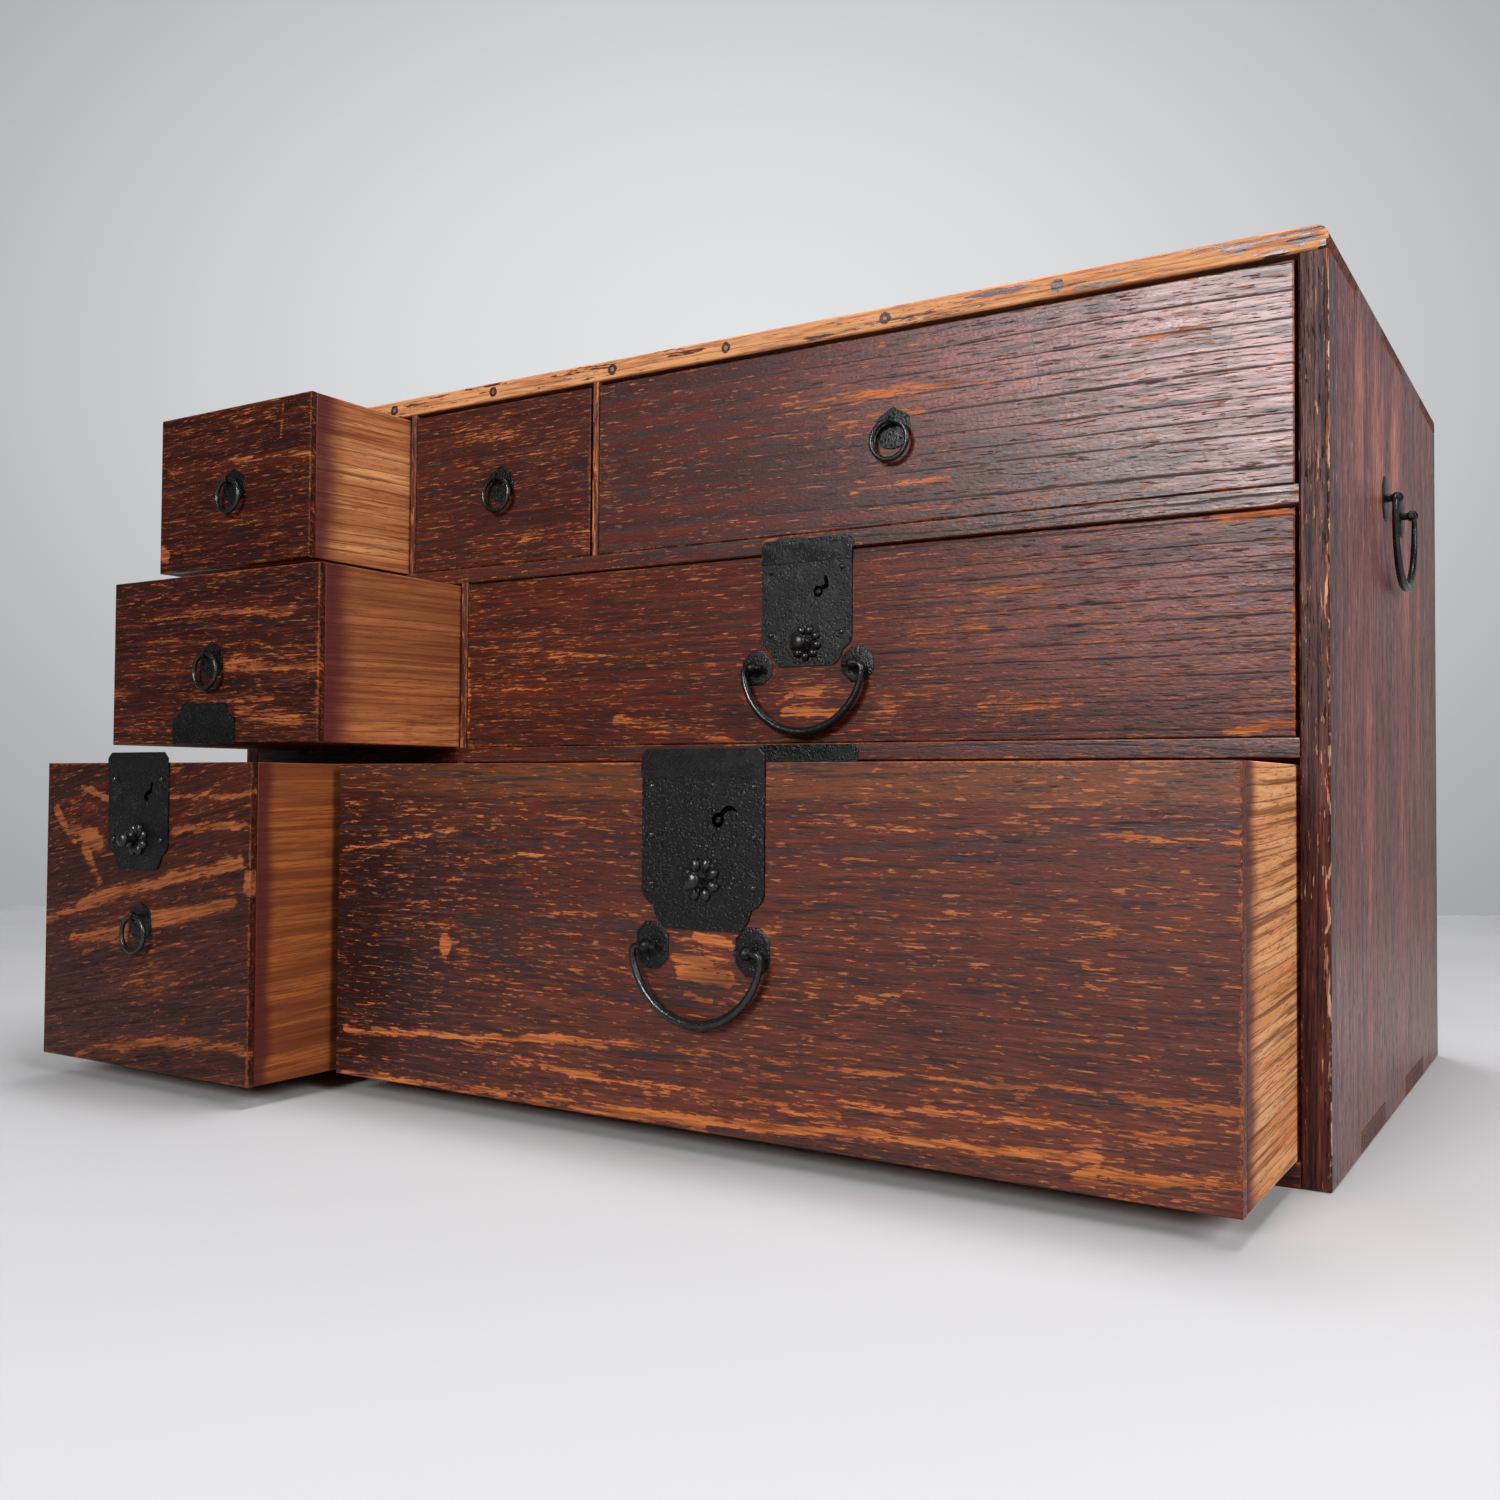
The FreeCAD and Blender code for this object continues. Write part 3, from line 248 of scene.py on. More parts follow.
def floorShade(tree, place, shader, output):
    near, far = [colour(*tone) for tone in stage["floorTones"]]
    # the floor darkens towards the wall: painted shade of the light's falloff
    ground = mixed(eased(parted(place)[1], *stage["floorFade"]), near, far)
    cloud = noise(place, 1.6, 4.0, 0.6).outputs[0]
    cloudy = mixed(eased(cloud, 0.35, 0.7, 0.0, 0.35), ground, colour(*stage["cloudTone"]))
    marks = noise(scaled(place, 9.0, 40.0, 1.0), 1.0, 6.0, 0.7).outputs[0]
    marked = mixed(eased(marks, 0.68, 0.74, 0.0, 0.16), cloudy, colour(*stage["markTone"]))
    path = addNode(tree, "ShaderNodeLightPath").outputs
    seen = most(path["Is Camera Ray"], path["Is Glossy Ray"])
    tree.links.new(mixed(seen, colour(*stage["bounceTone"]), marked), shader.inputs["Base Color"])
    shader.inputs["Roughness"].default_value = 0.6
    shader.inputs["Specular IOR Level"].default_value = 0.25
    apart = vector2("SUBTRACT", place, (*stage["fadeFrom"], 0.0))
    # far off, camera rays see a painted glow instead of the lit floor
    lost = times(path["Is Camera Ray"], eased(lengthOf(apart), *stage["fade"]))
    glow = {"Color": colour(*stage["surround"]), "Strength": 1.0}
    paintedSheenTone = addNode(tree, "ShaderNodeEmission", glow).outputs[0]
    mix = nodeFrom("ShaderNodeMixShader", {0: lost, 1: shader.outputs[0], 2: paintedSheenTone}).outputs[0]
    tree.links.new(mix, output.inputs["Surface"])


def wallShade(tree, place, shader, output):
    apart = vector2("SUBTRACT", place, (*stage["wallMiddle"], 0.0))
    away = lengthOf(scaled(apart, *stage["wallFade"], 0.0))
    middle, edge = [colour(*tone) for tone in stage["wallTones"]]
    # the wall glows, paler in its middle and darker towards its edges: painted light and its falloff
    pale = mixed(eased(away, 0.0, 1.0), middle, edge)
    glow = addNode(tree, "ShaderNodeEmission", {"Color": pale, "Strength": 1.0}).outputs[0]
    clear = addNode(tree, "ShaderNodeBsdfTransparent").outputs[0]
    path = addNode(tree, "ShaderNodeLightPath").outputs
    seen = most(path["Is Camera Ray"], path["Is Glossy Ray"])
    behind = addNode(tree, "ShaderNodeNewGeometry").outputs["Backfacing"]
    shown = times(seen, minus(1.0, behind))
    mix = addNode(tree, "ShaderNodeMixShader", {0: shown, 1: clear, 2: glow}).outputs[0]
    tree.links.new(mix, output.inputs["Surface"])
    tree.nodes.remove(shader)


def addStage():
    turn = math.radians(view["yaw"])
    middle = Vector((view["place"][0], view["place"][1], 0.0))
    ahead = Vector((-math.sin(turn), math.cos(turn), 0.0))
    half = stage["half"]
    bpy.ops.mesh.primitive_plane_add(size=2 * half, location=(middle.x, middle.y, -stage["floorDrop"]),
                                     rotation=(0, 0, turn))
    floor = bpy.context.object
    floor.name = "floor"
    floor.data.transform(Matrix.Translation((0, stage["wallAway"] - half, 0)))
    floor.data.materials.append(stageMaterial("paleFloor", floorShade))
    bpy.ops.mesh.primitive_plane_add(size=2 * half, location=middle + ahead * stage["wallAway"],
                                     rotation=(math.radians(90), 0, turn))
    wall = bpy.context.object
    wall.name = "wall"
    wall.data.transform(Matrix.Translation((0, half, 0)))
    wall.data.materials.append(stageMaterial("paleWall", wallShade))
    wall.visible_shadow = False
    wall.visible_diffuse = False


addStage()


# Lamps and world

lamps = {
    "sheen": {"place": (0.0, -2.4, 1.16), "aim": (0.4, -0.2, 0.45), "size": (0.75, 0.6), "power": 36.0,
              "lights": False},  # seen in the lacquer only
    "front": {"place": (0.1, -3.0, 1.25), "aim": (0.1, -0.3, 0.25), "size": (1.1, 0.8), "power": 50.0},
    "right": {"place": (2.1, -0.9, 1.2), "aim": (0.2, -0.2, 0.2), "size": (0.9, 0.9), "power": 30.0},
    "top": {"place": (0.3, 0.12, 3.0), "aim": (0.1, -0.25, 0.0), "size": (1.6, 0.8), "power": 58.0},
    "back": {"place": (-1.6, 2.6, 1.1), "aim": (-0.1, 0.1, 0.25), "size": (1.6, 1.2), "power": 55.0},
}
worldLight = {"colour": colour(228, 229, 231), "strength": 0.05}


def addLamps():
    for name, lamp in lamps.items():
        away = Vector(lamp["aim"]) - Vector(lamp["place"])
        bpy.ops.object.light_add(type="AREA", location=lamp["place"],
                                 rotation=away.to_track_quat("-Z", "Y").to_euler())
        made = bpy.context.object
        made.name = name + "Lamp"
        made.data.shape = "RECTANGLE"
        made.data.size, made.data.size_y = lamp["size"]
        made.data.energy = lamp["power"]
        made.visible_diffuse = lamp.get("lights", True)
        made.visible_camera = False
    world = bpy.context.scene.world or bpy.data.worlds.new("surround")
    bpy.context.scene.world = world
    world.use_nodes = True
    tree = world.node_tree
    dim = tuple(part * worldLight["strength"] for part in worldLight["colour"][:3]) + (1.0,)
    seen = addNode(tree, "ShaderNodeLightPath").outputs["Is Camera Ray"]
    tree.links.new(mixed(seen, dim, colour(*stage["surround"])), tree.nodes["Background"].inputs["Color"])
    tree.nodes["Background"].inputs["Strength"].default_value = 1.0
    bpy.context.scene.view_settings.view_transform = "Standard"


addLamps()
print("camera, stage and lamps set")


# Wood

plank = {
    "slow": (2.2, 6.0, 6.0), "quick": (18.0, 60.0, 60.0), "quickPush": 0.0014,
    "uneven": (0.4, 45.0, 0.0), "dots": (90.0, 700.0, 700.0),
    "coarse": (22.0, 420.0, 420.0), "coarseShare": 0.6, "fine": (55.0, 1000.0, 1000.0), "fineShare": 0.4,
    "pore": (75.0, 1050.0, 1050.0), "poreRange": (0.35, 0.41), "tone": (3.0, 90.0, 30.0),
}


def plankGrainGroup():
    # growth rings round a heart line along X, with the fibres and pores that run along it
    group, given, out = newGroup("plankGrain", [
        ("Place", "NodeSocketVector", (0, 0, 0)), ("Rings Per Metre", "NodeSocketFloat", 120.0),
        ("Warp", "NodeSocketFloat", 0.012)], [
        ("Ring", "NodeSocketFloat"), ("Near Ring", "NodeSocketFloat"), ("Fibre", "NodeSocketFloat"),
        ("Pore", "NodeSocketFloat"), ("Tone", "NodeSocketFloat"), ("Flow", "NodeSocketVector")])
    link = group.links.new
    place = given["Place"]
    middle = (0.5, 0.5, 0.5)
    slow = vector2("SUBTRACT", noise(scaled(place, *plank["slow"]), 1.0, 2.0).outputs[1], middle)
    quick = vector2("SUBTRACT", noise(scaled(place, *plank["quick"]), 1.0, 3.0).outputs[1], middle)
    pushed = scaled(quick, 0.0, plank["quickPush"], plank["quickPush"])
    bent = vector2("ADD", vector2("ADD", place, stretched(slow, given["Warp"])), pushed)
    bentX, bentY, bentZ = parted(bent)
    away = math2("SQRT", plus(times(bentY, bentY), times(bentZ, bentZ)))
    flow = nodeFrom("ShaderNodeCombineXYZ", {0: bentX, 1: away, 2: bentZ}).outputs[0]
    uneven = noise(scaled(flow, *plank["uneven"]), 1.0, 2.0).outputs[0]
    wave = math2("FRACT", plus(times(away, given["Rings Per Metre"]), times(uneven, 2.0)))
    soft = times(eased(wave, 0.5, 0.95, 0.0, 0.16), eased(wave, 0.95, 1.0, 1.0, 0.0))
    sharp = times(eased(wave, 0.84, 0.95), eased(wave, 0.975, 1.0, 1.0, 0.0))
    dots = noise(scaled(bent, *plank["dots"]), 1.0, 3.0, 0.65).outputs[0]
    broken = eased(dots, 0.32, 0.48, 0.35, 1.0)
    link(most(times(sharp, broken), soft), out["Ring"])
    swing = math2("ABSOLUTE", minus(times(wave, 2.0), 1.0))
    link(times(swing, swing), out["Near Ring"])
    coarse = noise(scaled(bent, *plank["coarse"]), 1.0, 3.0, 0.6).outputs[0]
    fine = noise(scaled(bent, *plank["fine"]), 1.0, 3.0, 0.65).outputs[0]
    link(plus(times(coarse, plank["coarseShare"]), times(fine, plank["fineShare"])), out["Fibre"])
    pore = noise(scaled(bent, *plank["pore"]), 1.0, 2.0, 0.6).outputs[0]
    link(eased(pore, *plank["poreRange"], 1.0, 0.0), out["Pore"])
    link(noise(scaled(flow, *plank["tone"]), 1.0, 3.0, 0.6).outputs[0], out["Tone"])
    link(flow, out["Flow"])
    return group


streaks = {
    "parts": [((7.0, 80.0, 30.0), 0.36), ((40.0, 430.0, 380.0), 0.48), ((140.0, 850.0, 800.0), 0.36),
              ((3.0, 9.0, 6.0), 0.22)],
    "wornRange": (0.17, 0.195), "thinRange": (0.04, 0.18),
    "specks": (85.0, 680.0, 640.0), "speckRange": (0.635, 0.66),
}


def wornStreaksGroup():
    # lacquer rubbed off in dashes that follow the rings, with fine specks round them
    group, given, out = newGroup("wornStreaks", [
        ("Flow", "NodeSocketVector", (0, 0, 0)), ("Near Ring", "NodeSocketFloat", 0.0),
        ("Amount", "NodeSocketFloat", 0.0)], [
        ("Worn", "NodeSocketFloat"), ("Specks", "NodeSocketFloat"), ("Thin", "NodeSocketFloat")])
    flow, total = given["Flow"], given["Amount"]
    for scales, weight in streaks["parts"]:
        part = noise(scaled(flow, *scales), 1.0, 3.0, 0.6).outputs[0]
        total = plus(total, times(minus(part, 0.5), weight))
    total = plus(total, times(minus(given["Near Ring"], 0.33), 0.04))
    group.links.new(eased(total, *streaks["wornRange"]), out["Worn"])
    group.links.new(eased(total, *streaks["thinRange"]), out["Thin"])
    fine = noise(scaled(flow, *streaks["specks"]), 1.0, 2.0, 0.6).outputs[0]
    group.links.new(eased(plus(fine, times(total, 0.35)), *streaks["speckRange"]), out["Specks"])
    return group


def edgeWearGroup():
    # falls from 1 at a board's edges to 0 further in, from the board's own box
    group, given, out = newGroup("edgeWear", [
        ("Place", "NodeSocketVector", (0, 0, 0)), ("Low", "NodeSocketVector", (0, 0, 0)),
        ("High", "NodeSocketVector", (1, 1, 1)), ("Width", "NodeSocketFloat", 0.004)], [
        ("Edge", "NodeSocketFloat")])
    fromLow = vector2("SUBTRACT", given["Place"], given["Low"])
    fromHigh = vector2("SUBTRACT", given["High"], given["Place"])
    nearX, nearY, nearZ = parted(vector2("MINIMUM", fromLow, fromHigh))
    second = most(least(nearX, nearY), least(most(nearX, nearY), nearZ))
    ragged = noise(given["Place"], 240.0, 4.0, 0.7).outputs[0]
    patchy = eased(noise(given["Place"], 22.0, 2.0, 0.5).outputs[0], 0.42, 0.60, 0.15, 1.0)
    reach = times(times(given["Width"], patchy), eased(ragged, 0.36, 0.66, 0.05, 2.0))
    share = minus(1.0, math2("DIVIDE", second, reach), clamp=True)
    group.links.new(eased(share, 0.15, 0.45), out["Edge"])
    return group


plankGrain = plankGrainGroup()
wornStreaks = wornStreaksGroup()
edgeWear = edgeWearGroup()

along = {"x": (0, 0, 0), "y": (0, 0, math.radians(-90)), "z": (0, math.radians(90), 0)}


def grainPlace(place, spec):
    # turns and shifts a board's coordinates so that its heart line lies along X
    turned = place
    if spec.get("grain", "x") != "x":
        turned = nodeFrom("ShaderNodeMapping", {"Vector": place, "Rotation": along[spec["grain"]]}).outputs[0]
    shift = [value * mm for value in spec["heart"]]
    lean = [math.radians(value) for value in spec.get("lean", (0, 0, 0))]
    return nodeFrom("ShaderNodeMapping", {"Vector": turned, "Location": shift, "Rotation": lean}).outputs[0]


def sideways(place):
    # a side panel's own plane, turned so that marks on it are placed by depth and height
    depth, height = parted(place)[1:3]
    return nodeFrom("ShaderNodeCombineXYZ", {0: depth, 2: height}).outputs[0]


def wearAndPaintedLightSpots(place, spots):
    # soft ovals, each a middle (x, z), half sizes and a strength: rubbed wear, and also the ovals of painted
    # sheen and painted shade
    total = None
    for x, z, wide, tall, strength in spots:
        apart = vector2("SUBTRACT", place, (x * mm, 0.0, z * mm))
        away = lengthOf(scaled(apart, 1 / (wide * mm), 0.0, 1 / (tall * mm)))
        spot = eased(away, 0.2, 1.0, strength, 0.0)
        total = spot if total is None else plus(total, spot)
    return total


def strokes(place, lines, inner=0.1):
    # marks along straight lines in a front's plane, each two ends (x, z), half its width and a strength
    total = None
    for x1, z1, x2, z2, half, strength in lines:
        start, end = Vector((x1, 0, z1)) * mm, Vector((x2, 0, z2)) * mm
        length = (end - start).length
        apart = scaled(vector2("SUBTRACT", place, tuple(start)), 1.0, 0.0, 1.0)
        heading = tuple((end - start).normalized())
        way = nodeFrom("ShaderNodeVectorMath", {0: apart, 1: heading}, operation="DOT_PRODUCT").outputs["Value"]
        way = least(most(way, 0.0), length)
        away = lengthOf(vector2("SUBTRACT", apart, stretched(heading, way)))
        mark = eased(away, inner * half * mm, half * mm, strength, 0.0)
        total = mark if total is None else most(total, mark)
    return total


lacquer = {
    "deep": (24, 8, 7),
    "body": (74, 25, 15),
    "light": (98, 37, 21),
    "thin": (124, 52, 24),
    "bare": (214, 122, 56),
    "bareDark": (132, 62, 28),
    "fleck": (150, 80, 60),
    # the tone of the painted sheen
    "paintedSheenTone": (172, 92, 82),
    "gloss": 0.35,
    "shine": 0.45,
    "relief": 0.00008,
    "fibreShow": 0.85,
    "poreShow": 0.65,
    "thinShow": 0.45,
    "speckShow": 0.7,
    "glintShow": 0.5,
    "edgeShow": 0.5,
    "ringDepth": 0.9,
}


def lacqueredWood(name, low, high, spec):
    # worn brown lacquer over orange wood; low and high are the board's box
    tone = {**lacquer, **spec}
    material, tree, surface, place = newMaterial(name)
    grainAt = grainPlace(place, spec)
    grain = placeGroup(tree, plankGrain, {"Place": grainAt, "Rings Per Metre": spec.get("rings", 120.0),
                                          "Warp": spec.get("warp", 0.012)})
    amount = spec.get("worn", 0.0)
    marksAt = sideways(place) if spec.get("side") else place
    if spec.get("spots"):
        amount = plus(wearAndPaintedLightSpots(marksAt, spec["spots"]), amount)
    if spec.get("bands"):
        shaken = vector2("SUBTRACT", noise(place, 28.0, 3.0, 0.6).outputs[1], (0.5, 0.5, 0.5))
        shaken = vector2("ADD", marksAt, scaled(shaken, 0.012, 0.012, 0.012))
        amount = plus(strokes(shaken, spec["bands"]), amount)
    rub = placeGroup(tree, wornStreaks, {"Flow": grain["Flow"], "Near Ring": grain["Near Ring"],
                                         "Amount": amount})
    edge = placeGroup(tree, edgeWear, {"Place": place, "Low": low, "High": high,
                                       "Width": spec.get("edge", 2.5) * mm})["Edge"]
    body = mixed(eased(grain["Tone"], 0.35, 0.65), colour(*tone["body"]), colour(*tone["light"]))
    if spec.get("paleAbove"):
        height = parted(place)[2]
        shift = times(minus(grain["Tone"], 0.5), 0.02)
        top = eased(plus(height, shift), spec["paleAbove"] * mm, (spec["paleAbove"] + 5) * mm, 0.0, 0.8)
        body = mixed(top, body, colour(*spec["paleTone"]))
    # darkened ovals towards the deep tone: painted shade on the bottom wide front, and a plain darkening along
    # the right panel's edges
    if spec.get("darkening"):
        darkening = least(wearAndPaintedLightSpots(marksAt, spec["darkening"]), 0.85)
        body = mixed(darkening, body, colour(*tone["deep"]))
    # painted sheen: a pale tone mixed in over soft ovals and broken up by the fibres
    if spec.get("paintedSheens"):
        paintedSheen = times(wearAndPaintedLightSpots(marksAt, spec["paintedSheens"]), eased(grain["Fibre"], 0.4, 0.56, 0.35, 1.0))
        body = mixed(paintedSheen, body, colour(*tone["paintedSheenTone"]))
    # pale flecks along the fibres: painted glints of the lacquer's sheen
    fleck = eased(grain["Fibre"], 0.53, 0.65, 0.0, tone["glintShow"])
    flecked = mixed(fleck, body, colour(*tone["fleck"]))
    fibred = mixed(eased(grain["Fibre"], 0.37, 0.53, tone["fibreShow"], 0.0), flecked, colour(*tone["deep"]))
    pored = mixed(times(grain["Pore"], tone["poreShow"]), fibred, colour(*tone["deep"]))
    thinned = mixed(times(rub["Thin"], tone["thinShow"]), pored, colour(*tone["thin"]))
    ringDepth = tone["ringDepth"]
    ringed = mixed(times(grain["Ring"], ringDepth), thinned, colour(*tone["deep"]))
    groove = eased(grain["Ring"], 0.2, 1.0, 0.0, ringDepth)
    if spec.get("scratches"):
        ringed = mixed(strokes(place, spec["scratches"]), ringed, colour(*tone["deep"]))
    bare = mixed(eased(grain["Fibre"], 0.38, 0.58), colour(*tone["bareDark"]), colour(*tone["bare"]))
    bareRinged = mixed(times(grain["Ring"], 0.5), bare, colour(*tone["body"]))
    worn = most(most(rub["Worn"], times(rub["Specks"], tone["speckShow"])), times(edge, tone["edgeShow"]))
    tree.links.new(mixed(worn, ringed, bareRinged), surface["Base Color"])
    gloss = eased(grain["Fibre"], 0.3, 0.7, tone["gloss"] + 0.10, tone["gloss"] - 0.06)
    dulled = most(worn, most(groove, grain["Pore"]))
    dull = plus(gloss, times(dulled, 0.35), clamp=True)
    tree.links.new(dull, surface["Roughness"])
    height = minus(times(grain["Fibre"], 0.5), plus(times(groove, 0.8), times(worn, 0.35)))
    height = minus(height, times(grain["Pore"], 0.7))
    leather = noise(scaled(grainAt, 340.0, 600.0, 600.0), 1.0, 2.0, 0.5).outputs[0]
    height = plus(height, times(leather, 1.7))
    bumped(surface, height, tone["relief"])
    surface["Specular IOR Level"].default_value = tone["shine"]
    return material


bareWoodTones = {
    "pale": (226, 160, 104),
    "dark": (178, 104, 56),
    "line": (116, 54, 26),
    "stain": (84, 26, 30),
    "seam": (38, 20, 12),
    "rowShift": (0.43, 0.06, 0.05),
    "gloss": 0.62,
    "shine": 0.3,
    "relief": 0.00015,
}


def bareWood(name, spec):
    # unfinished wood, with the front's lacquer bled into its first few centimetres
    tone = {**bareWoodTones, **spec}
    material, tree, surface, place = newMaterial(name)
    grainAt = grainPlace(place, spec)
    if "rows" in spec:
        first, step = spec["rows"]
        level = math2("DIVIDE", minus(parted(place)[2], first * mm), step * mm)
        number = math2("FLOOR", level)
        fromMiddle = math2("ABSOLUTE", minus(math2("FRACT", level), 0.5))
        seam = eased(fromMiddle, 0.5 - 1.4 / step, 0.5 - 0.4 / step, 0.0, 0.9)
        grainAt = vector2("ADD", grainAt, stretched(tone["rowShift"], number))
    grain = placeGroup(tree, plankGrain, {"Place": grainAt, "Rings Per Metre": spec.get("rings", 180.0),
                                          "Warp": spec.get("warp", 0.012)})
    body = mixed(eased(grain["Tone"], 0.36, 0.64), colour(*tone["dark"]), colour(*tone["pale"]))
    fibred = mixed(eased(grain["Fibre"], 0.38, 0.56, 0.75, 0.0), body, colour(*tone["dark"]))
    streak = noise(scaled(grain["Flow"], 7.0, 330.0, 120.0), 1.0, 3.0, 0.6).outputs[0]
    fibred = mixed(eased(streak, 0.5, 0.64, 0.0, 0.75), fibred, colour(*tone["line"]))
    pored = mixed(times(grain["Pore"], 0.6), fibred, colour(*tone["line"]))
    ringed = mixed(times(grain["Ring"], 0.75), pored, colour(*tone["line"]))
    if "frontAt" in spec:
        back = minus(parted(place)[1], spec["frontAt"])
        cloud = noise(scaled(place, 20.0, 9.0, 26.0), 1.0, 4.0, 0.6).outputs[0]
        shift = times(minus(cloud, 0.5), spec.get("bleed", 24) * 1.5 * mm)
        bled = eased(minus(back, shift), 0.0, spec.get("bleed", 24) * mm, 0.9, 0.0)
        ringed = mixed(bled, ringed, colour(*tone["stain"]))
    if "rows" in spec:
        ringed = mixed(seam, ringed, colour(*tone["seam"]))
    tree.links.new(ringed, surface["Base Color"])
    gloss = eased(grain["Fibre"], 0.3, 0.7, tone["gloss"] + 0.08, tone["gloss"] - 0.06)
    tree.links.new(gloss, surface["Roughness"])
    height = minus(times(grain["Fibre"], 0.7), times(grain["Ring"], 0.5))
    bumped(surface, height, tone["relief"])
    surface["Specular IOR Level"].default_value = tone["shine"]
    return material


# Modelling helpers

def pickOnly(*objects):
    bpy.ops.object.select_all(action="DESELECT")
    for thing in objects:
        thing.select_set(True)
    bpy.context.view_layer.objects.active = objects[0]


def finishModifier(thing, kind, **settings):
    pickOnly(thing)
    modifier = thing.modifiers.new(kind.lower(), kind)
    for key, value in settings.items():
        setattr(modifier, key, value)
    bpy.ops.object.modifier_apply(modifier=modifier.name)


def settled(thing):
    # puts a piece's place into its mesh
    pickOnly(thing)
    bpy.ops.object.transform_apply(location=True, rotation=True, scale=True)
    return thing


def joined(name, parts):
    pickOnly(*parts)
    if len(parts) > 1:
        bpy.ops.object.join()
    made = bpy.context.object
    made.name = name
    made.data.name = name
    return made


def smoothed(thing, degrees=35):
    pickOnly(thing)
    bpy.ops.object.shade_smooth_by_angle(angle=math.radians(degrees))
    return thing


def boxPiece(low, high):
    low, high = Vector(low), Vector(high)
    bpy.ops.mesh.primitive_cube_add(size=1, location=(low + high) / 2, scale=high - low)
    return settled(bpy.context.object)


def rodPiece(radius, start, end, sides=32):
    start, end = Vector(start), Vector(end)
    turn = (end - start).to_track_quat("Z", "Y").to_euler()
    bpy.ops.mesh.primitive_cylinder_add(vertices=sides, radius=radius, depth=(end - start).length,
                                        location=(start + end) / 2, rotation=turn)
    return settled(bpy.context.object)


def ballPiece(radius, middle, squash=(1, 1, 1), rounds=24, rows=14):
    bpy.ops.mesh.primitive_uv_sphere_add(segments=rounds, ring_count=rows, radius=radius, location=middle,
                                         rotation=(math.radians(90), 0, 0), scale=squash)
    return settled(bpy.context.object)


def editMode(thing, kind="FACE", test=None):
    # opens edit mode with the edges or faces that pass the test selected, or with everything
    pickOnly(thing)
    bpy.ops.object.mode_set(mode="EDIT")
    bpy.ops.mesh.select_mode(type=kind)
    bpy.ops.mesh.select_all(action="DESELECT" if test else "SELECT")
    if test:
        bpy.ops.object.mode_set(mode="OBJECT")
        for part in thing.data.edges if kind == "EDGE" else thing.data.polygons:
            part.select = test(part)
        bpy.ops.object.mode_set(mode="EDIT")


def objectMode():
    bpy.ops.object.mode_set(mode="OBJECT")


def bevelPicked(thing, width, test, segments=1):
    # bevels only the edges whose ends pass the test
    points = thing.data.vertices
    editMode(thing, "EDGE", lambda edge: test(*[points[i].co for i in edge.vertices]))
    bpy.ops.mesh.bevel(offset=width, segments=segments, affect="EDGES", clamp_overlap=False)
    objectMode()
    return thing


def cutWith(thing, tool):
    finishModifier(thing, "BOOLEAN", object=tool, operation="DIFFERENCE", solver="EXACT")
    bpy.data.objects.remove(tool)
    return thing


def ease(thing, width, segments=2, degrees=40):
    finishModifier(thing, "BEVEL", width=width, segments=segments, limit_method="ANGLE",
                   angle_limit=math.radians(degrees), use_clamp_overlap=True)
    return thing


def carried(thing, body, slot, *replaced):
    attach(thing, body)
    if replaced:
        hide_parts(*replaced)
    return thing


def boxOf(name):
    low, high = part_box(name)
    return Vector(low), Vector(high)


# Boards: a merged copy of each packed board, its long edges eased

boards = {
    "ease": 0.7,
    "longEdge": 12.0,
    "turn": 0.9,  # radians, between an eased edge's two faces
    "merge": 0.00001,
    "flat": 0.6,  # degrees
}


def boardCopy(name):
    source = nodes[name]
    board = bpy.data.objects.new(name + "_wood", source.data.copy())
    bpy.context.scene.collection.objects.link(board)
    board.data.materials.clear()
    editMode(board)
    bpy.ops.mesh.remove_doubles(threshold=boards["merge"])
    bpy.ops.mesh.customdata_custom_splitnormals_clear()
    bpy.ops.mesh.dissolve_limited(angle_limit=math.radians(boards["flat"]))
    bpy.ops.mesh.select_all(action="DESELECT")
    objectMode()
    return board


def easeLongEdges(board, width):
    # rounds the edges that run the length of a board and leaves small joints sharp
    mesh = board.data
    around = {}
    for face in mesh.polygons:
        for key in face.edge_keys:
            around.setdefault(key, []).append((face.normal.copy(), face.center.copy()))
    sharp = set()
    for key, pair in around.items():
        outward = len(pair) == 2 and (pair[1][1] - pair[0][1]).dot(pair[0][0]) < 0
        if outward and pair[0][0].angle(pair[1][0], 0) > boards["turn"]:
            sharp.add(frozenset(tuple(mesh.vertices[i].co) for i in key))
    long = boards["longEdge"] * mm
    bevelPicked(board, width * mm,
                lambda a, b: (a - b).length > long and frozenset((tuple(a), tuple(b))) in sharp, 2)


def dressBoard(name, materials, chooser=None, easing=None):
    # materials is a list, and chooser says which one each face gets
    board = boardCopy(name)
    easeLongEdges(board, boards["ease"] if easing is None else easing)
    for material in materials:
        board.data.materials.append(material)
    if chooser:
        for face in board.data.polygons:
            face.material_index = chooser(face.center, face.normal)
    finishModifier(smoothed(board, 40), "WEIGHTED_NORMAL", keep_sharp=True, weight=100)
    carried(board, nodes[name]["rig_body"], "lacquered_wood" if chooser else "bare_wood", name)
    return board
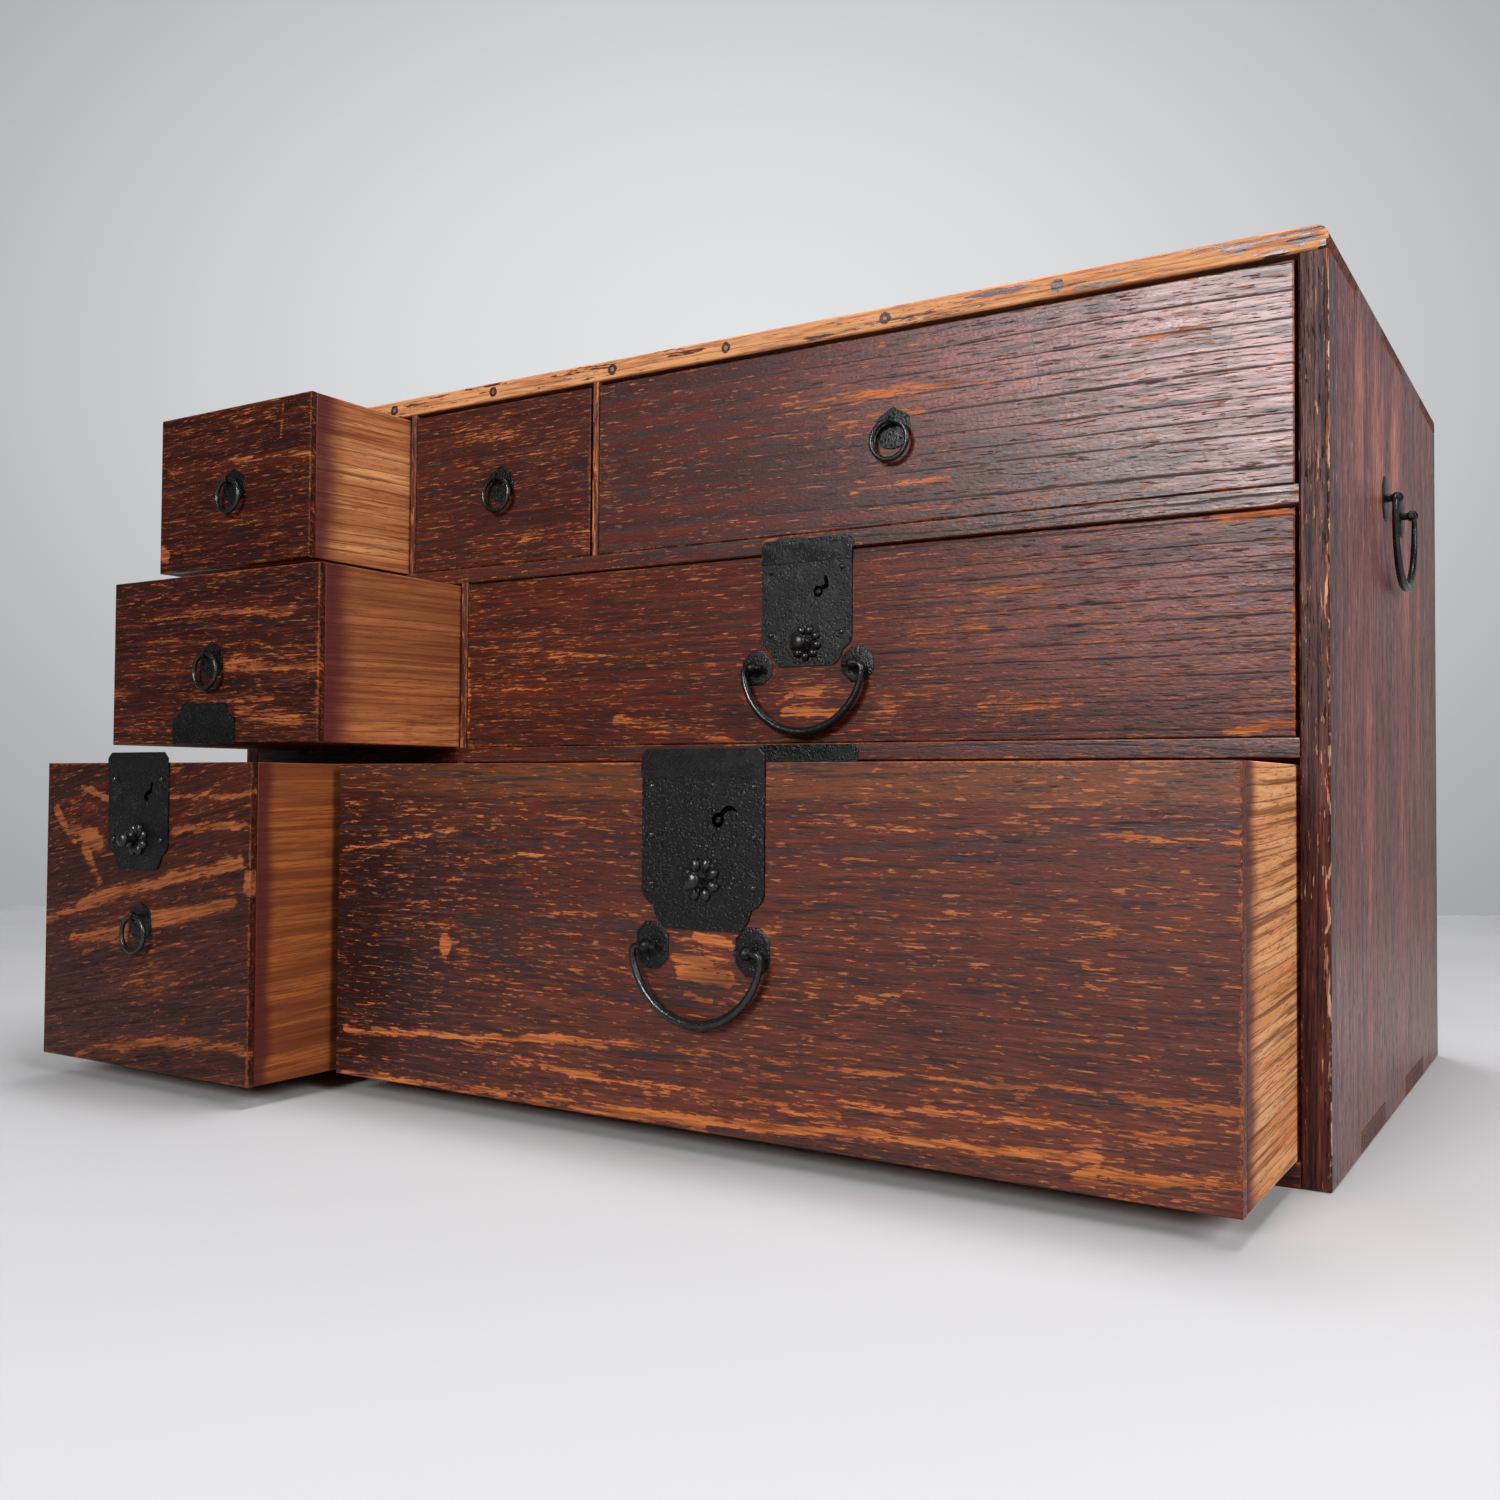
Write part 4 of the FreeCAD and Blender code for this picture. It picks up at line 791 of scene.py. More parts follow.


# Drawers. Marks are in the front's plane, in mm: a band or scratch has two ends (x, z), half its width and
#  a strength, and a spot, a patch of painted sheen or a darkened patch has its middle (x, z), half sizes and a
#  strength

drawers = {
    # the left drawers' fronts take darker body tones than the wide ones, partly painted shade for light falling
    # off to the left, partly their own tone
    "top_left": {"heart": (0, -30, -900), "lean": (0, 1.0, 0), "rings": 120, "worn": 0.035, "shine": 0.2,
                 "body": (60, 21, 12), "light": (80, 30, 16), "bare": (196, 112, 56),
                 "sides": {"pale": (236, 166, 110), "dark": (184, 112, 66)},
                 "bands": [(-400, 472, -240, 468, 5, 0.08), (-395, 441, -301, 443, 6, 0.13),
                           (-301, 443, -235, 440, 5, 0.08), (-268, 478, -270, 454, 2, 0.14),
                           (-403, 382, -399, 378, 6, 0.30), (-370, 380, -260, 384, 5, 0.07)]},
    "top_middle": {"heart": (0, -40, -1100), "lean": (0, 0.6, 0), "rings": 120, "worn": 0.03, "shine": 0.3,
                   "body": (66, 23, 14), "light": (86, 33, 19),
                   "spots": [(-150, 462, 70, 12, 0.12), (-140, 382, 60, 12, 0.08), (-85, 440, 20, 25, 0.08)]},
    "top_wide": {"heart": (0, 60, -700), "lean": (0, -0.5, 0), "rings": 92, "worn": -0.02,
                 "paintedSheens": [(330, 450, 190, 60, 0.5), (390, 400, 90, 60, 0.35), (180, 460, 120, 40, 0.3)],
                 "glintShow": 0.3, "spots": [(10, 462, 70, 16, 0.09), (340, 456, 60, 16, 0.09),
                                             (-48, 420, 10, 50, 0.08), (150, 440, 90, 32, 0.07),
                                             (200, 374, 190, 6, 0.05)],
                 "bands": [(111, 469, 199, 468, 5, 0.14), (93, 449, 235, 444, 6, 0.16),
                           (128, 431, 194, 433, 4, 0.12), (145, 389, 210, 390, 4, 0.24),
                           (135, 411, 190, 410, 4, 0.10), (320, 453, 364, 457, 4, 0.10)],
                 "scratches": [(260, 470, 266, 440, 0.8, 0.7), (285, 452, 303, 432, 0.7, 0.7),
                               (303, 454, 280, 434, 0.7, 0.7), (268, 448, 262, 428, 0.6, 0.6),
                               (376, 470, 369, 424, 0.5, 0.5), (330, 458, 352, 468, 0.5, 0.5),
                               (292, 428, 312, 418, 0.5, 0.5), (150, 470, 160, 452, 0.4, 0.5)]},
    "middle_left": {"heart": (0, 30, -800), "lean": (0, 0.5, 0), "rings": 120, "worn": 0.045, "shine": 0.2,
                    "body": (54, 19, 12), "light": (72, 27, 16), "bare": (186, 106, 54),
                    "sides": {"pale": (200, 126, 74), "dark": (144, 82, 44)},
                    "bands": [(-356, 327, -213, 321, 5, 0.12), (-372, 310, -185, 296, 3, 0.08),
                              (-276, 287, -185, 282, 7, 0.10), (-330, 268, -230, 262, 5, 0.09),
                              (-262, 254, -201, 248, 8, 0.12), (-186, 340, -186, 240, 3, 0.05)]},
    "middle_wide": {"heart": (0, 40, -650), "lean": (0, 0.3, 0), "rings": 110, "worn": 0.035, "shine": 0.27,
                    "body": (76, 26, 14), "light": (100, 38, 20), "ringDepth": 0.75,
                    "spots": [(114, 268, 34, 14, 0.10), (-100, 290, 90, 50, 0.05), (168, 251, 22, 12, 0.16)],
                    "paintedSheens": [(300, 300, 180, 60, 0.3)],
                    "bands": [(-87, 321, 81, 315, 4, 0.06), (-172, 304, 19, 292, 4, 0.09),
                              (-36, 250, 60, 238, 8, 0.18), (96, 253, 137, 252, 6, 0.26),
                              (104, 265, 124, 265, 3, 0.20), (90, 258, 100, 262, 3, 0.16),
                              (182, 322, 315, 320, 6, 0.08), (182, 297, 232, 300, 6, 0.13),
                              (232, 251, 288, 253, 6, 0.10), (372, 236, 404, 240, 4, 0.20),
                              (364, 352, 404, 351, 4, 0.18), (404, 300, 404, 260, 3, 0.16),
                              (-175, 300, -175, 240, 3, 0.14), (190, 312, 290, 306, 3, 0.08)]},
    "bottom_left": {"heart": (0, -40, -300), "lean": (0, 11, 0), "rings": 60, "worn": 0.005, "shine": 0.18,
                    "ringDepth": 0.5, "glintShow": 0.25, "body": (56, 23, 15), "light": (74, 32, 20),
                    "bare": (172, 98, 54),
                    "bareDark": (112, 58, 32),
                    "sides": {"pale": (178, 100, 46), "dark": (122, 62, 26), "stain": (84, 26, 24),
                              "bleed": 9},
                    "spots": [(-298, 81, 80, 40, 0.09), (-355, 164, 16, 14, 0.10)],
                    "bands": [(-405, 106, -360, 122, 5, 0.20), (-360, 122, -198, 156, 8, 0.24),
                              (-372, 96, -330, 102, 8, 0.22), (-330, 102, -205, 129, 9, 0.24),
                              (-364, 202, -332, 195, 4, 0.22), (-270, 195, -189, 199, 4, 0.19),
                              (-262, 172, -191, 180, 5, 0.21), (-395, 186, -372, 164, 6, 0.22),
                              (-375, 172, -345, 164, 11, 0.23), (-362, 160, -344, 139, 7, 0.22),
                              (-367, 16, -318, 27, 5, 0.22), (-318, 27, -242, 38, 6, 0.25),
                              (-242, 38, -184, 35, 7, 0.22), (-190, 148, -190, 136, 5, 0.28),
                              (-330, 36, -190, 20, 4, 0.10)]},
    "bottom_wide": {"heart": (0, 75, -118), "lean": (0, 0.5, 0), "rings": 105, "worn": 0.03, "shine": 0.33,
                    "ringDepth": 0.6, "body": (84, 32, 19), "light": (100, 42, 24), "paleAbove": 197,
                    "paleTone": (124, 66, 36),
                    # painted shade: the left half of the front is darkened
                    "darkening": [(-190, 110, 230, 190, 0.9)],
                    "sides": {"pale": (255, 190, 132), "dark": (230, 148, 92)},
                    "spots": [(116, 104, 34, 22, 0.08), (-81, 104, 7, 11, 0.30), (140, 38, 300, 30, 0.05)],
                    "bands": [(109, 121, 133, 118, 4.5, 0.22), (95, 108, 119, 105, 4, 0.18),
                              (99, 100, 133, 96, 5.5, 0.24), (104, 88, 120, 86, 3, 0.15),
                              (-172, 161, -20, 187, 3.5, 0.13), (-20, 187, 112, 186, 3, 0.14),
                              (112, 186, 290, 182, 3.5, 0.14), (290, 182, 404, 182, 3, 0.10),
                              (-172, 140, 41, 169, 2.5, 0.08), (-170, 43, 72, 57, 5, 0.19),
                              (72, 57, 404, 62, 4, 0.14), (-170, 13, 113, 20, 6, 0.20),
                              (113, 22, 340, 30, 5, 0.18), (200, 40, 404, 46, 4, 0.14),
                              (0, 36, 200, 34, 4, 0.14), (330, 20, 404, 30, 6, 0.17),
                              (60, 130, 260, 128, 12, 0.04)],
                    "scratches": [(250, 140, 262, 118, 0.4, 0.35), (205, 96, 212, 140, 0.4, 0.35),
                                  (300, 110, 296, 88, 0.4, 0.35)]},
}


def dressDrawers():
    for name, spec in drawers.items():
        spec = {"edge": 1.6, "edgeShow": 0.35, **spec}
        low, high = boxOf(name + "_drawer_front")
        face = lacqueredWood(name + "Lacquer", low, high, spec)
        inside = bareWood(name + "FrontInside", {"heart": (0, spec["heart"][1] + 20, spec["heart"][2])})
        # the sides' tones come from each drawer's spec: lighter on the bottom wide drawer and darker on the
        # middle and bottom left ones, partly painted light and shade, partly stain
        side = bareWood(name + "Sides", {"grain": "y", "heart": (30, 20, -700), "frontAt": low.y + 0.012,
                                         "lean": (0, 2, 0), **spec.get("sides", {})})
        across = bareWood(name + "Across", {"heart": (10, 50, -700)})
        dressBoard(name + "_drawer_front", [face, inside],
                   lambda c, n: 1 if n.y > 0.5 and c.y > low.y + 0.004 else 0, 1.1)
        left, right = [corner + Vector((0.012, 0, 0)) * way for corner, way in
                       zip(boxOf(name + "_drawer_walls"), (1, -1))]
        backFrom = right.y - 0.012
        dressBoard(name + "_drawer_walls", [side, across],
                   lambda c, n: 1 if left.x < c.x < right.x and c.y > backFrom else 0)
        dressBoard(name + "_drawer_bottom", [across])
    print("drawers dressed")


dressDrawers()


# Case

case = {
    # the right panel's body tones are lighter and pinker than the left panel's, partly painted sheen; the haze
    # patches on both side panels are painted sheen
    "rightPanel": {"grain": "z", "heart": (0, -900, 30), "rings": 60, "worn": 0.01, "edge": 2.0,
                   "ringDepth": 0.1, "body": (96, 38, 34), "light": (138, 60, 52), "shine": 0.62,
                   "gloss": 0.34, "side": True,
                   "bare": (236, 176, 146), "bareDark": (176, 108, 84), "paintedSheenTone": (232, 140, 112),
                   "glintShow": 0.3, "paintedSheens": [(-60, 420, 34, 80, 0.75), (-130, 430, 26, 70, 0.6),
                                               (10, 410, 28, 100, 0.85), (60, 350, 30, 90, 0.5),
                                               (-100, 190, 24, 120, 0.25), (40, 180, 20, 110, 0.25),
                                               (120, 280, 22, 130, 0.3)],
                   "bands": [(-60, 380, -60, 450, 8, 0.09), (10, 370, 12, 450, 9, 0.14),
                             (-165, 330, -165, 370, 7, 0.10), (-130, 410, -128, 450, 6, 0.10),
                             (-100, 120, -95, 240, 10, 0.08), (60, 180, 60, 300, 10, 0.08)],
                   # darker along the panel's front, top and back edges
                   "darkening": [(-225, 250, 34, 900, 0.8), (0, 500, 900, 22, 0.5), (225, 250, 40, 900, 0.5)]},
    "panelEdge": {"grain": "z", "heart": (0, 40, -300), "rings": 200, "worn": -0.05, "edge": 1.0,
                  "ringDepth": 0.5, "body": (66, 30, 24), "light": (92, 47, 38), "gloss": 0.50, "shine": 0.2,
                  "bare": (232, 178, 144),
                  # the pale lines along both front corners: edge wear, and partly a painted highlight on the
                  # corner
                  "bands": [(421.6, 20, 421.6, 496, 1.6, 0.26), (-421.6, 20, -421.6, 496, 1.6, 0.26)]},
    "leftPanel": {"grain": "z", "heart": (0, 860, 40), "rings": 65, "worn": -0.06, "edge": 3.0,
                  "ringDepth": 0.2, "body": (84, 32, 24), "light": (116, 48, 34), "side": True,
                  "paintedSheenTone": (190, 110, 84),
                  "paintedSheens": [(-100, 400, 30, 90, 0.5), (30, 420, 26, 80, 0.6), (120, 240, 34, 150, 0.4),
                            (-40, 180, 26, 130, 0.4)],
                  "bands": [(-30, 330, 30, 326, 5, 0.16), (-190, 60, -188, 200, 7, 0.12),
                            (150, 400, 152, 470, 6, 0.12)]},
    "top": {"heart": (0, -500, 400), "rings": 100, "worn": -0.05, "edge": 3.0, "gloss": 0.5, "shine": 0.3,
            "body": (84, 32, 22), "light": (112, 46, 30)},
    "topFront": {"heart": (0, 30, -300), "rings": 200, "worn": 0.26, "edge": 1.0, "bare": (240, 168, 108),
                 "bareDark": (192, 118, 68),
                 "smudges": [(410, 493, 12, 3, -0.26), (396, 488, 8, 3, -0.3), (376, 495, 12, 2, -0.25),
                             (420, 486, 4, 6, -0.4), (300, 489, 20, 2, -0.3), (240, 496, 26, 2, -0.3),
                             (120, 489, 18, 2, -0.25), (20, 495, 24, 2, -0.25)]},
    "bottom": {"heart": (0, -600, 200), "rings": 130, "worn": 0.0, "gloss": 0.45},
    "rail": {"heart": (0, 40, -300), "rings": 180, "worn": -0.02, "edge": 1.0},
    "divider": {"grain": "z", "heart": (0, 40, -300), "rings": 180, "worn": 0.14, "edge": 1.0},
    "backRows": (13.0, 157.833),  # where the lowest back board starts, and the height of each
    "peg": {"grain": "y", "heart": (0, 3, 3), "pale": (188, 166, 146), "dark": (150, 126, 106), "rings": 900},
}


def pegSpots():
    # dark rings round the pegs in the top board's front edge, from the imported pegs' middles
    groups = []
    for point in nodes["case_pegs"].data.vertices:
        if point.co.y < -0.22 and point.co.z > 0.485:
            near = [group for group in groups if abs(group[0].x - point.co.x) < 0.008]
            if near:
                near[0].append(point.co.copy())
            else:
                groups.append([point.co.copy()])
    spots = []
    for points in groups:
        x = (min(p.x for p in points) + max(p.x for p in points)) / 2 / mm
        z = (min(p.z for p in points) + max(p.z for p in points)) / 2 / mm
        spots.append((x, z, 4.4, 4.4, -0.9))
    return spots


def lacqueredFor(node, name, spec):
    low, high = boxOf(node)
    return lacqueredWood(name, low, high, spec)


def dressCase():
    roughTones = {"pale": (176, 124, 84), "dark": (128, 80, 50)}
    rough = bareWood("caseInside", {**roughTones, "heart": (0, 90, 160)})
    roughUp = bareWood("caseInsideUpright", {**roughTones, "grain": "z", "heart": (0, 60, 160)})
    roughDeep = bareWood("caseInsideDeep", {**roughTones, "grain": "y", "heart": (0, 60, 160)})
    rowed = bareWood("backBoardsWood", {**roughTones, "heart": (0, 90, 160), "rows": case["backRows"]})
    for side, sign in (("left", -1), ("right", 1)):
        panel = side + "_side_panel"
        outer = lacqueredFor(panel, side + "PanelLacquer", case[side + "Panel"])
        front = lacqueredFor(panel, side + "PanelEdge", case["panelEdge"])
        dressBoard(panel, [outer, roughUp, front],
                   lambda c, n: 2 if n.y < -0.5 else 1 if n.x * sign < -0.5 and c.x * sign < 0.41 else 0)
    outer = lacqueredFor("top_board", "topLacquer", case["top"])
    front = lacqueredFor("top_board", "topFrontWood",
                         {**case["topFront"], "spots": pegSpots() + case["topFront"]["smudges"]})
    dressBoard("top_board", [outer, rough, front], lambda c, n: 2 if n.y < -0.5 else 1 if n.z < -0.5 else 0)
    outer = lacqueredFor("bottom_board", "bottomLacquer", case["bottom"])
    dressBoard("bottom_board", [outer, rough], lambda c, n: 1 if abs(n.z) > 0.5 else 0)
    for name in ("upper_rail_and_shelf", "lower_rail_and_shelf"):
        outer = lacqueredFor(name, name + "Lacquer", case["rail"])
        dressBoard(name, [outer, rough], lambda c, n: 0 if n.y < -0.5 and c.y < -0.22 else 1)
    for name in ("top_row_dividers", "middle_divider", "bottom_divider"):
        outer = lacqueredFor(name, name + "Lacquer", case["divider"])
        dressBoard(name, [outer, roughDeep], lambda c, n: 0 if n.y < -0.5 else 1)
    dressBoard("back_boards", [rowed])
    peg = bareWood("pegWood", case["peg"])
    nodes["case_pegs"].data.materials.clear()
    nodes["case_pegs"].data.materials.append(peg)
    print("case dressed")


dressCase()


# Iron

def ironSkinGroup():
    # forge scale: a fine speckle, broad clouds and pits
    group, given, out = newGroup("ironSkin", [
        ("Place", "NodeSocketVector", (0, 0, 0)), ("Grit", "NodeSocketFloat", 2400.0)], [
        ("Speckle", "NodeSocketFloat"), ("Cloud", "NodeSocketFloat"), ("Pit", "NodeSocketFloat")])
    tree = group
    tree.links.new(noise(given["Place"], given["Grit"], 3.0, 0.6).outputs[0], out["Speckle"])
    tree.links.new(noise(given["Place"], 85.0, 5.0, 0.65).outputs[0], out["Cloud"])
    pits = addNode(tree, "ShaderNodeTexVoronoi", {"Vector": given["Place"], "Scale": 420.0}).outputs[0]
    tree.links.new(eased(pits, 0.05, 0.45), out["Pit"])
    return group


ironSkin = ironSkinGroup()


forged = {"grit": 1300.0, "fleck": (104, 98, 96), "metal": 0.3}


def ironFinish(name, dark, light, gloss, shine=0.3, relief=0.0004, rust=0.35):
    material, tree, surface, place = newMaterial(name)
    skin = placeGroup(tree, ironSkin, {"Place": place, "Grit": forged["grit"]})
    shade = mixed(eased(skin["Cloud"], 0.32, 0.68), colour(*dark), colour(*light))
    spread = plus(skin["Speckle"], times(minus(skin["Cloud"], 0.5), 0.4))
    flecked = mixed(eased(spread, 0.58, 0.66, 0.0, rust), shade, colour(*forged["fleck"]))
    tree.links.new(flecked, surface["Base Color"])
    surface["Metallic"].default_value = forged["metal"]
    surface["Specular IOR Level"].default_value = shine
    tree.links.new(eased(skin["Cloud"], 0.34, 0.66, gloss + 0.12, gloss - 0.06), surface["Roughness"])
    height = plus(times(skin["Speckle"], 0.6), times(skin["Pit"], 0.5))
    height = plus(height, skin["Cloud"])
    bumped(surface, height, relief)
    return material


plateIron = ironFinish("plateIron", (2, 2, 3), (12, 12, 14), 0.30)
rubbedAndHighlitIron = ironFinish("rubbedAndHighlitIron", (13, 12, 12), (38, 36, 36), 0.24, 0.5, 0.00016, 0.15)
keyholeShade = ironFinish("keyholeShade", (0, 0, 0), (2, 2, 2), 0.8, 0.0, 0.0001, 0.0)


def ironed(thing, material, degrees=35):
    thing.data.materials.clear()
    thing.data.materials.append(material)
    for face in thing.data.polygons:
        face.material_index = 0
    finishModifier(smoothed(thing, degrees), "WEIGHTED_NORMAL", keep_sharp=True, weight=100)
    return thing


# Ring pulls: pointed plate, split pin with a round eye, ring of round wire

ringPull = {
    "ringRadius": 11.95, "wire": 1.6,
    "plateWidth": 24.0, "plateHeight": 26.0, "plateThickness": 1.0, "plateDrop": 3.5,
    "waist": 0.10, "shoulder": (0.44, 0.37),  # shares of the plate's width and height
    "eyeReach": 5.0, "pinEye": 2.5, "pinWire": 0.7, "leg": 1.3,
    "legSpan": 16.0, "legHeight": 3.0, "legThickness": 1.0,
}


def ringPiece(radius, wire, middle, rotation, rounds, sides):
    bpy.ops.mesh.primitive_torus_add(major_segments=rounds, minor_segments=sides, major_radius=radius * mm,
                                     minor_radius=wire * mm, location=middle, rotation=rotation)
    return settled(bpy.context.object)


def pointedPlate(spec):
    # a square-cut point above and a round foot below
    half = spec["plateWidth"] / 2
    middle = -spec["plateDrop"]
    top = spec["plateHeight"] / 2 + middle
    waist = middle - spec["waist"] * spec["plateHeight"]
    bpy.ops.mesh.primitive_circle_add(vertices=48, radius=half * mm, fill_type="NGON",
                                      location=(0, 0, waist * mm), rotation=(math.radians(90), 0, 0))
    plate = settled(bpy.context.object)
    foot = (waist - middle + spec["plateHeight"] / 2) / half
    shoulder = spec["shoulder"][0] * spec["plateWidth"]
    rise = spec["shoulder"][1] * spec["plateHeight"]
    corner = math.atan2(rise, shoulder)
    for point in plate.data.vertices:
        x, z = point.co.x / mm, point.co.z / mm - waist
        if z < 0:
            point.co.z = (waist + z * foot) * mm
        else:
            turn = math.atan2(z, abs(x))
            if turn < corner:
                share = turn / corner
                x, z = math.copysign(half + (shoulder - half) * share, x), rise * share
            else:
                share = (turn - corner) / (math.pi / 2 - corner)
                x, z = math.copysign(shoulder * (1 - share), x), rise + (top - waist - rise) * share
            point.co.x, point.co.z = x * mm, (waist + z) * mm
    finishModifier(plate, "SOLIDIFY", thickness=spec["plateThickness"] * mm, offset=1.0)
    return ease(plate, 0.35 * mm, 2)


def splitPin(reach, neck, depth, spec):
    legs = boxPiece((-spec["legSpan"] / 2 * mm, depth, -spec["legHeight"] / 2 * mm),
                    (spec["legSpan"] / 2 * mm, depth + spec["legThickness"] * mm, spec["legHeight"] / 2 * mm))
    pin = rodPiece(neck * mm, (0, -reach * mm, 0), (0, depth + spec["legThickness"] / 2 * mm, 0), 20)
    return [ease(legs, 0.3 * mm), pin]


def addRingPull(name, depth):
    spec = ringPull
    low, high = boxOf(name + "_pull_mount")
    frontAt = boxOf(name + "_drawer_front")[0].y
    pinX = (low.x + high.x) / 2
    pinZ = high.z - (spec["plateHeight"] / 2 - spec["plateDrop"]) * mm
    reach = spec["plateThickness"] + spec["eyeReach"]
    eye = ringPiece(spec["pinEye"], spec["pinWire"], (0, -reach * mm, 0), (0, math.radians(90), 0), 28, 14)
    plate = pointedPlate(spec)
    pins = splitPin(reach - 2.0, spec["leg"], depth, spec)
    mount = joined(name + "_pull_mount_iron", [plate, eye] + pins)
    ring = ringPiece(spec["ringRadius"], spec["wire"], (0, -reach * mm, -spec["ringRadius"] * mm),
                     (math.radians(90), 0, 0), 96, 18)
    ring.name = name + "_ring_iron"
    for piece, body, node, metal in ((mount, name + "_drawer", name + "_pull_mount", plateIron),
                                     (ring, name + "_ring_body", name + "_ring", rubbedAndHighlitIron)):
        piece.location = (pinX, frontAt, pinZ)
        settled(piece)
        ironed(piece, metal)
        carried(piece, body, "black_iron", node)


frontThickness = {"top_left": 14, "top_middle": 14, "top_wide": 14, "middle_left": 18, "bottom_left": 18}
for name, thickness in frontThickness.items():
    addRingPull(name, thickness * mm)
print("ring pulls made")


# Bails and their octagonal plates, on two drawers and the two side panels

bailPull = {
    "endRadius": 1.7, "flankRadius": 2.2, "middleRadius": 2.7, "bend": 3.0, "flank": 0.70, "tail": 3.2,
    "plateWidth": 22.0, "plateHeight": 27.0, "plateThickness": 1.2, "plateCorner": 6.5,
    "plateSlope": 2.4, "plateRim": 0.45,
    "eyeRadius": 4.0, "eyeReach": 6.0, "neck": 2.4,
    "legSpan": 16.0, "legHeight": 3.0, "legThickness": 1.0,
}
bails = {
    "middle_wide": {"width": 90.0, "drop": 41.5, "spread": 72.5, "board": 18.0, "plateHeight": 22.0,
                    "endRadius": 1.9, "flankRadius": 2.6, "middleRadius": 2.9},
    "bottom_wide": {"width": 90.0, "drop": 41.5, "spread": 67.0, "board": 18.0,
                    "endRadius": 1.9, "flankRadius": 2.5, "middleRadius": 2.8},
    "carrying": {"width": 92.0, "drop": 52.0, "spread": 70.0, "board": 15.0, "eyeRadius": 3.68},
}


def bailPath(spec, size):
    # places down half a bail, from its hooked end to its middle: x, z, thickness
    half = size["width"] / 2 - spec["flankRadius"]
    low = size["drop"] - spec["bend"]
    flank = low * spec["flank"]
    foot = ((half - flank) ** 2 + low ** 2 - flank ** 2) / (2 * (low - flank))
    footAngle = math.atan2(half - flank, foot - low)
    start = size["spread"] / 2 - spec["eyeRadius"] - spec["tail"]
    straight = half - spec["bend"] - start
    bendLength = spec["bend"] * math.pi / 2
    flankLength = flank * (math.pi / 2 - footAngle)
    total = straight + bendLength + flankLength + foot * footAngle
    path = []
    count = 40
    for i in range(count + 1):
        way = total * i / count
        if way <= straight:
            x, z = start + way, 0.0
        elif way <= straight + bendLength:
            turn = (way - straight) / spec["bend"]
            x, z = half - spec["bend"] + spec["bend"] * math.sin(turn), spec["bend"] * (math.cos(turn) - 1)
        elif way <= straight + bendLength + flankLength:
            turn = (way - straight - bendLength) / flank
            x, z = half - flank + flank * math.cos(turn), -spec["bend"] - flank * math.sin(turn)
        else:
            turn = (total - way) / foot
            x, z = foot * math.sin(turn), foot - size["drop"] - foot * math.cos(turn)
        share = min(1.0, max(0.0, 1.4 * way / total - 0.2))
        thick = spec["endRadius"] + (spec["middleRadius"] - spec["endRadius"]) * share
        path.append((x, z, thick))
    return path


def forgedBail(spec, size, reach):
    path = bailPath(spec, size)
    whole = path + [(-x, z, thick) for x, z, thick in reversed(path[:-1])]
    bpy.ops.curve.primitive_nurbs_path_add()
    curve = bpy.context.object
    spline = curve.data.splines[0]
    spline.points.add(len(whole) - len(spline.points))
    for point, (x, z, thick) in zip(spline.points, whole):
        point.co = (x * mm, -reach * mm, z * mm, 1)
        point.radius = thick / spec["middleRadius"]
    spline.order_u = 3
    spline.use_endpoint_u = True
    curve.data.bevel_depth = spec["middleRadius"] * mm
    curve.data.bevel_resolution = 5
    curve.data.resolution_u = 3
    curve.data.use_fill_caps = True
    pickOnly(curve)
    bpy.ops.object.convert(target="MESH")
    return bpy.context.object


def octagonPlate(spec, x):
    half, tall, thick = spec["plateWidth"] / 2 * mm, spec["plateHeight"] / 2 * mm, spec["plateThickness"] * mm
    plate = boxPiece((-half, -thick, -tall), (half, 0, tall))
    bevelPicked(plate, spec["plateCorner"] * mm, lambda a, b: abs(a.y - b.y) > thick / 2)
    slope = spec["plateSlope"] * mm
    editMode(plate, "FACE", lambda face: face.normal.y < -0.9)
    bpy.ops.mesh.inset(thickness=slope, depth=0.0)
    objectMode()
    for point in plate.data.vertices:
        inner = abs(point.co.x) < half - slope / 2 and abs(point.co.z) < tall - slope / 2
        if point.co.y < -thick / 2 and not inner:
            point.co.y = -thick * spec["plateRim"]
    plate.location.x = x
    return settled(ease(plate, 0.15 * mm, 1, 20))


def bailMounts(spec, size):
    reach = spec["plateThickness"] + spec["eyeReach"]
    parts = []
    for side in (-1, 1):
        x = side * size["spread"] / 2 * mm
        parts.append(octagonPlate(spec, x))
        ball = ballPiece(spec["eyeRadius"] * mm, (x, -reach * mm, 0), rounds=32, rows=18)
        away = Vector((6 * mm, 0, 0))
        middle = Vector((x, -reach * mm, 0))
        cutWith(ball, rodPiece((spec["endRadius"] + 0.3) * mm, middle - away, middle + away, 24))
        parts.append(ball)
        for piece in splitPin(reach - 3.0, spec["neck"], size["board"] * mm, spec):
            piece.location.x = x
            parts.append(settled(piece))
    return parts


def placeAll(pieces, place, turn=0):
    for piece in pieces:
        piece.rotation_euler.z = turn
        piece.location = place
        settled(piece)


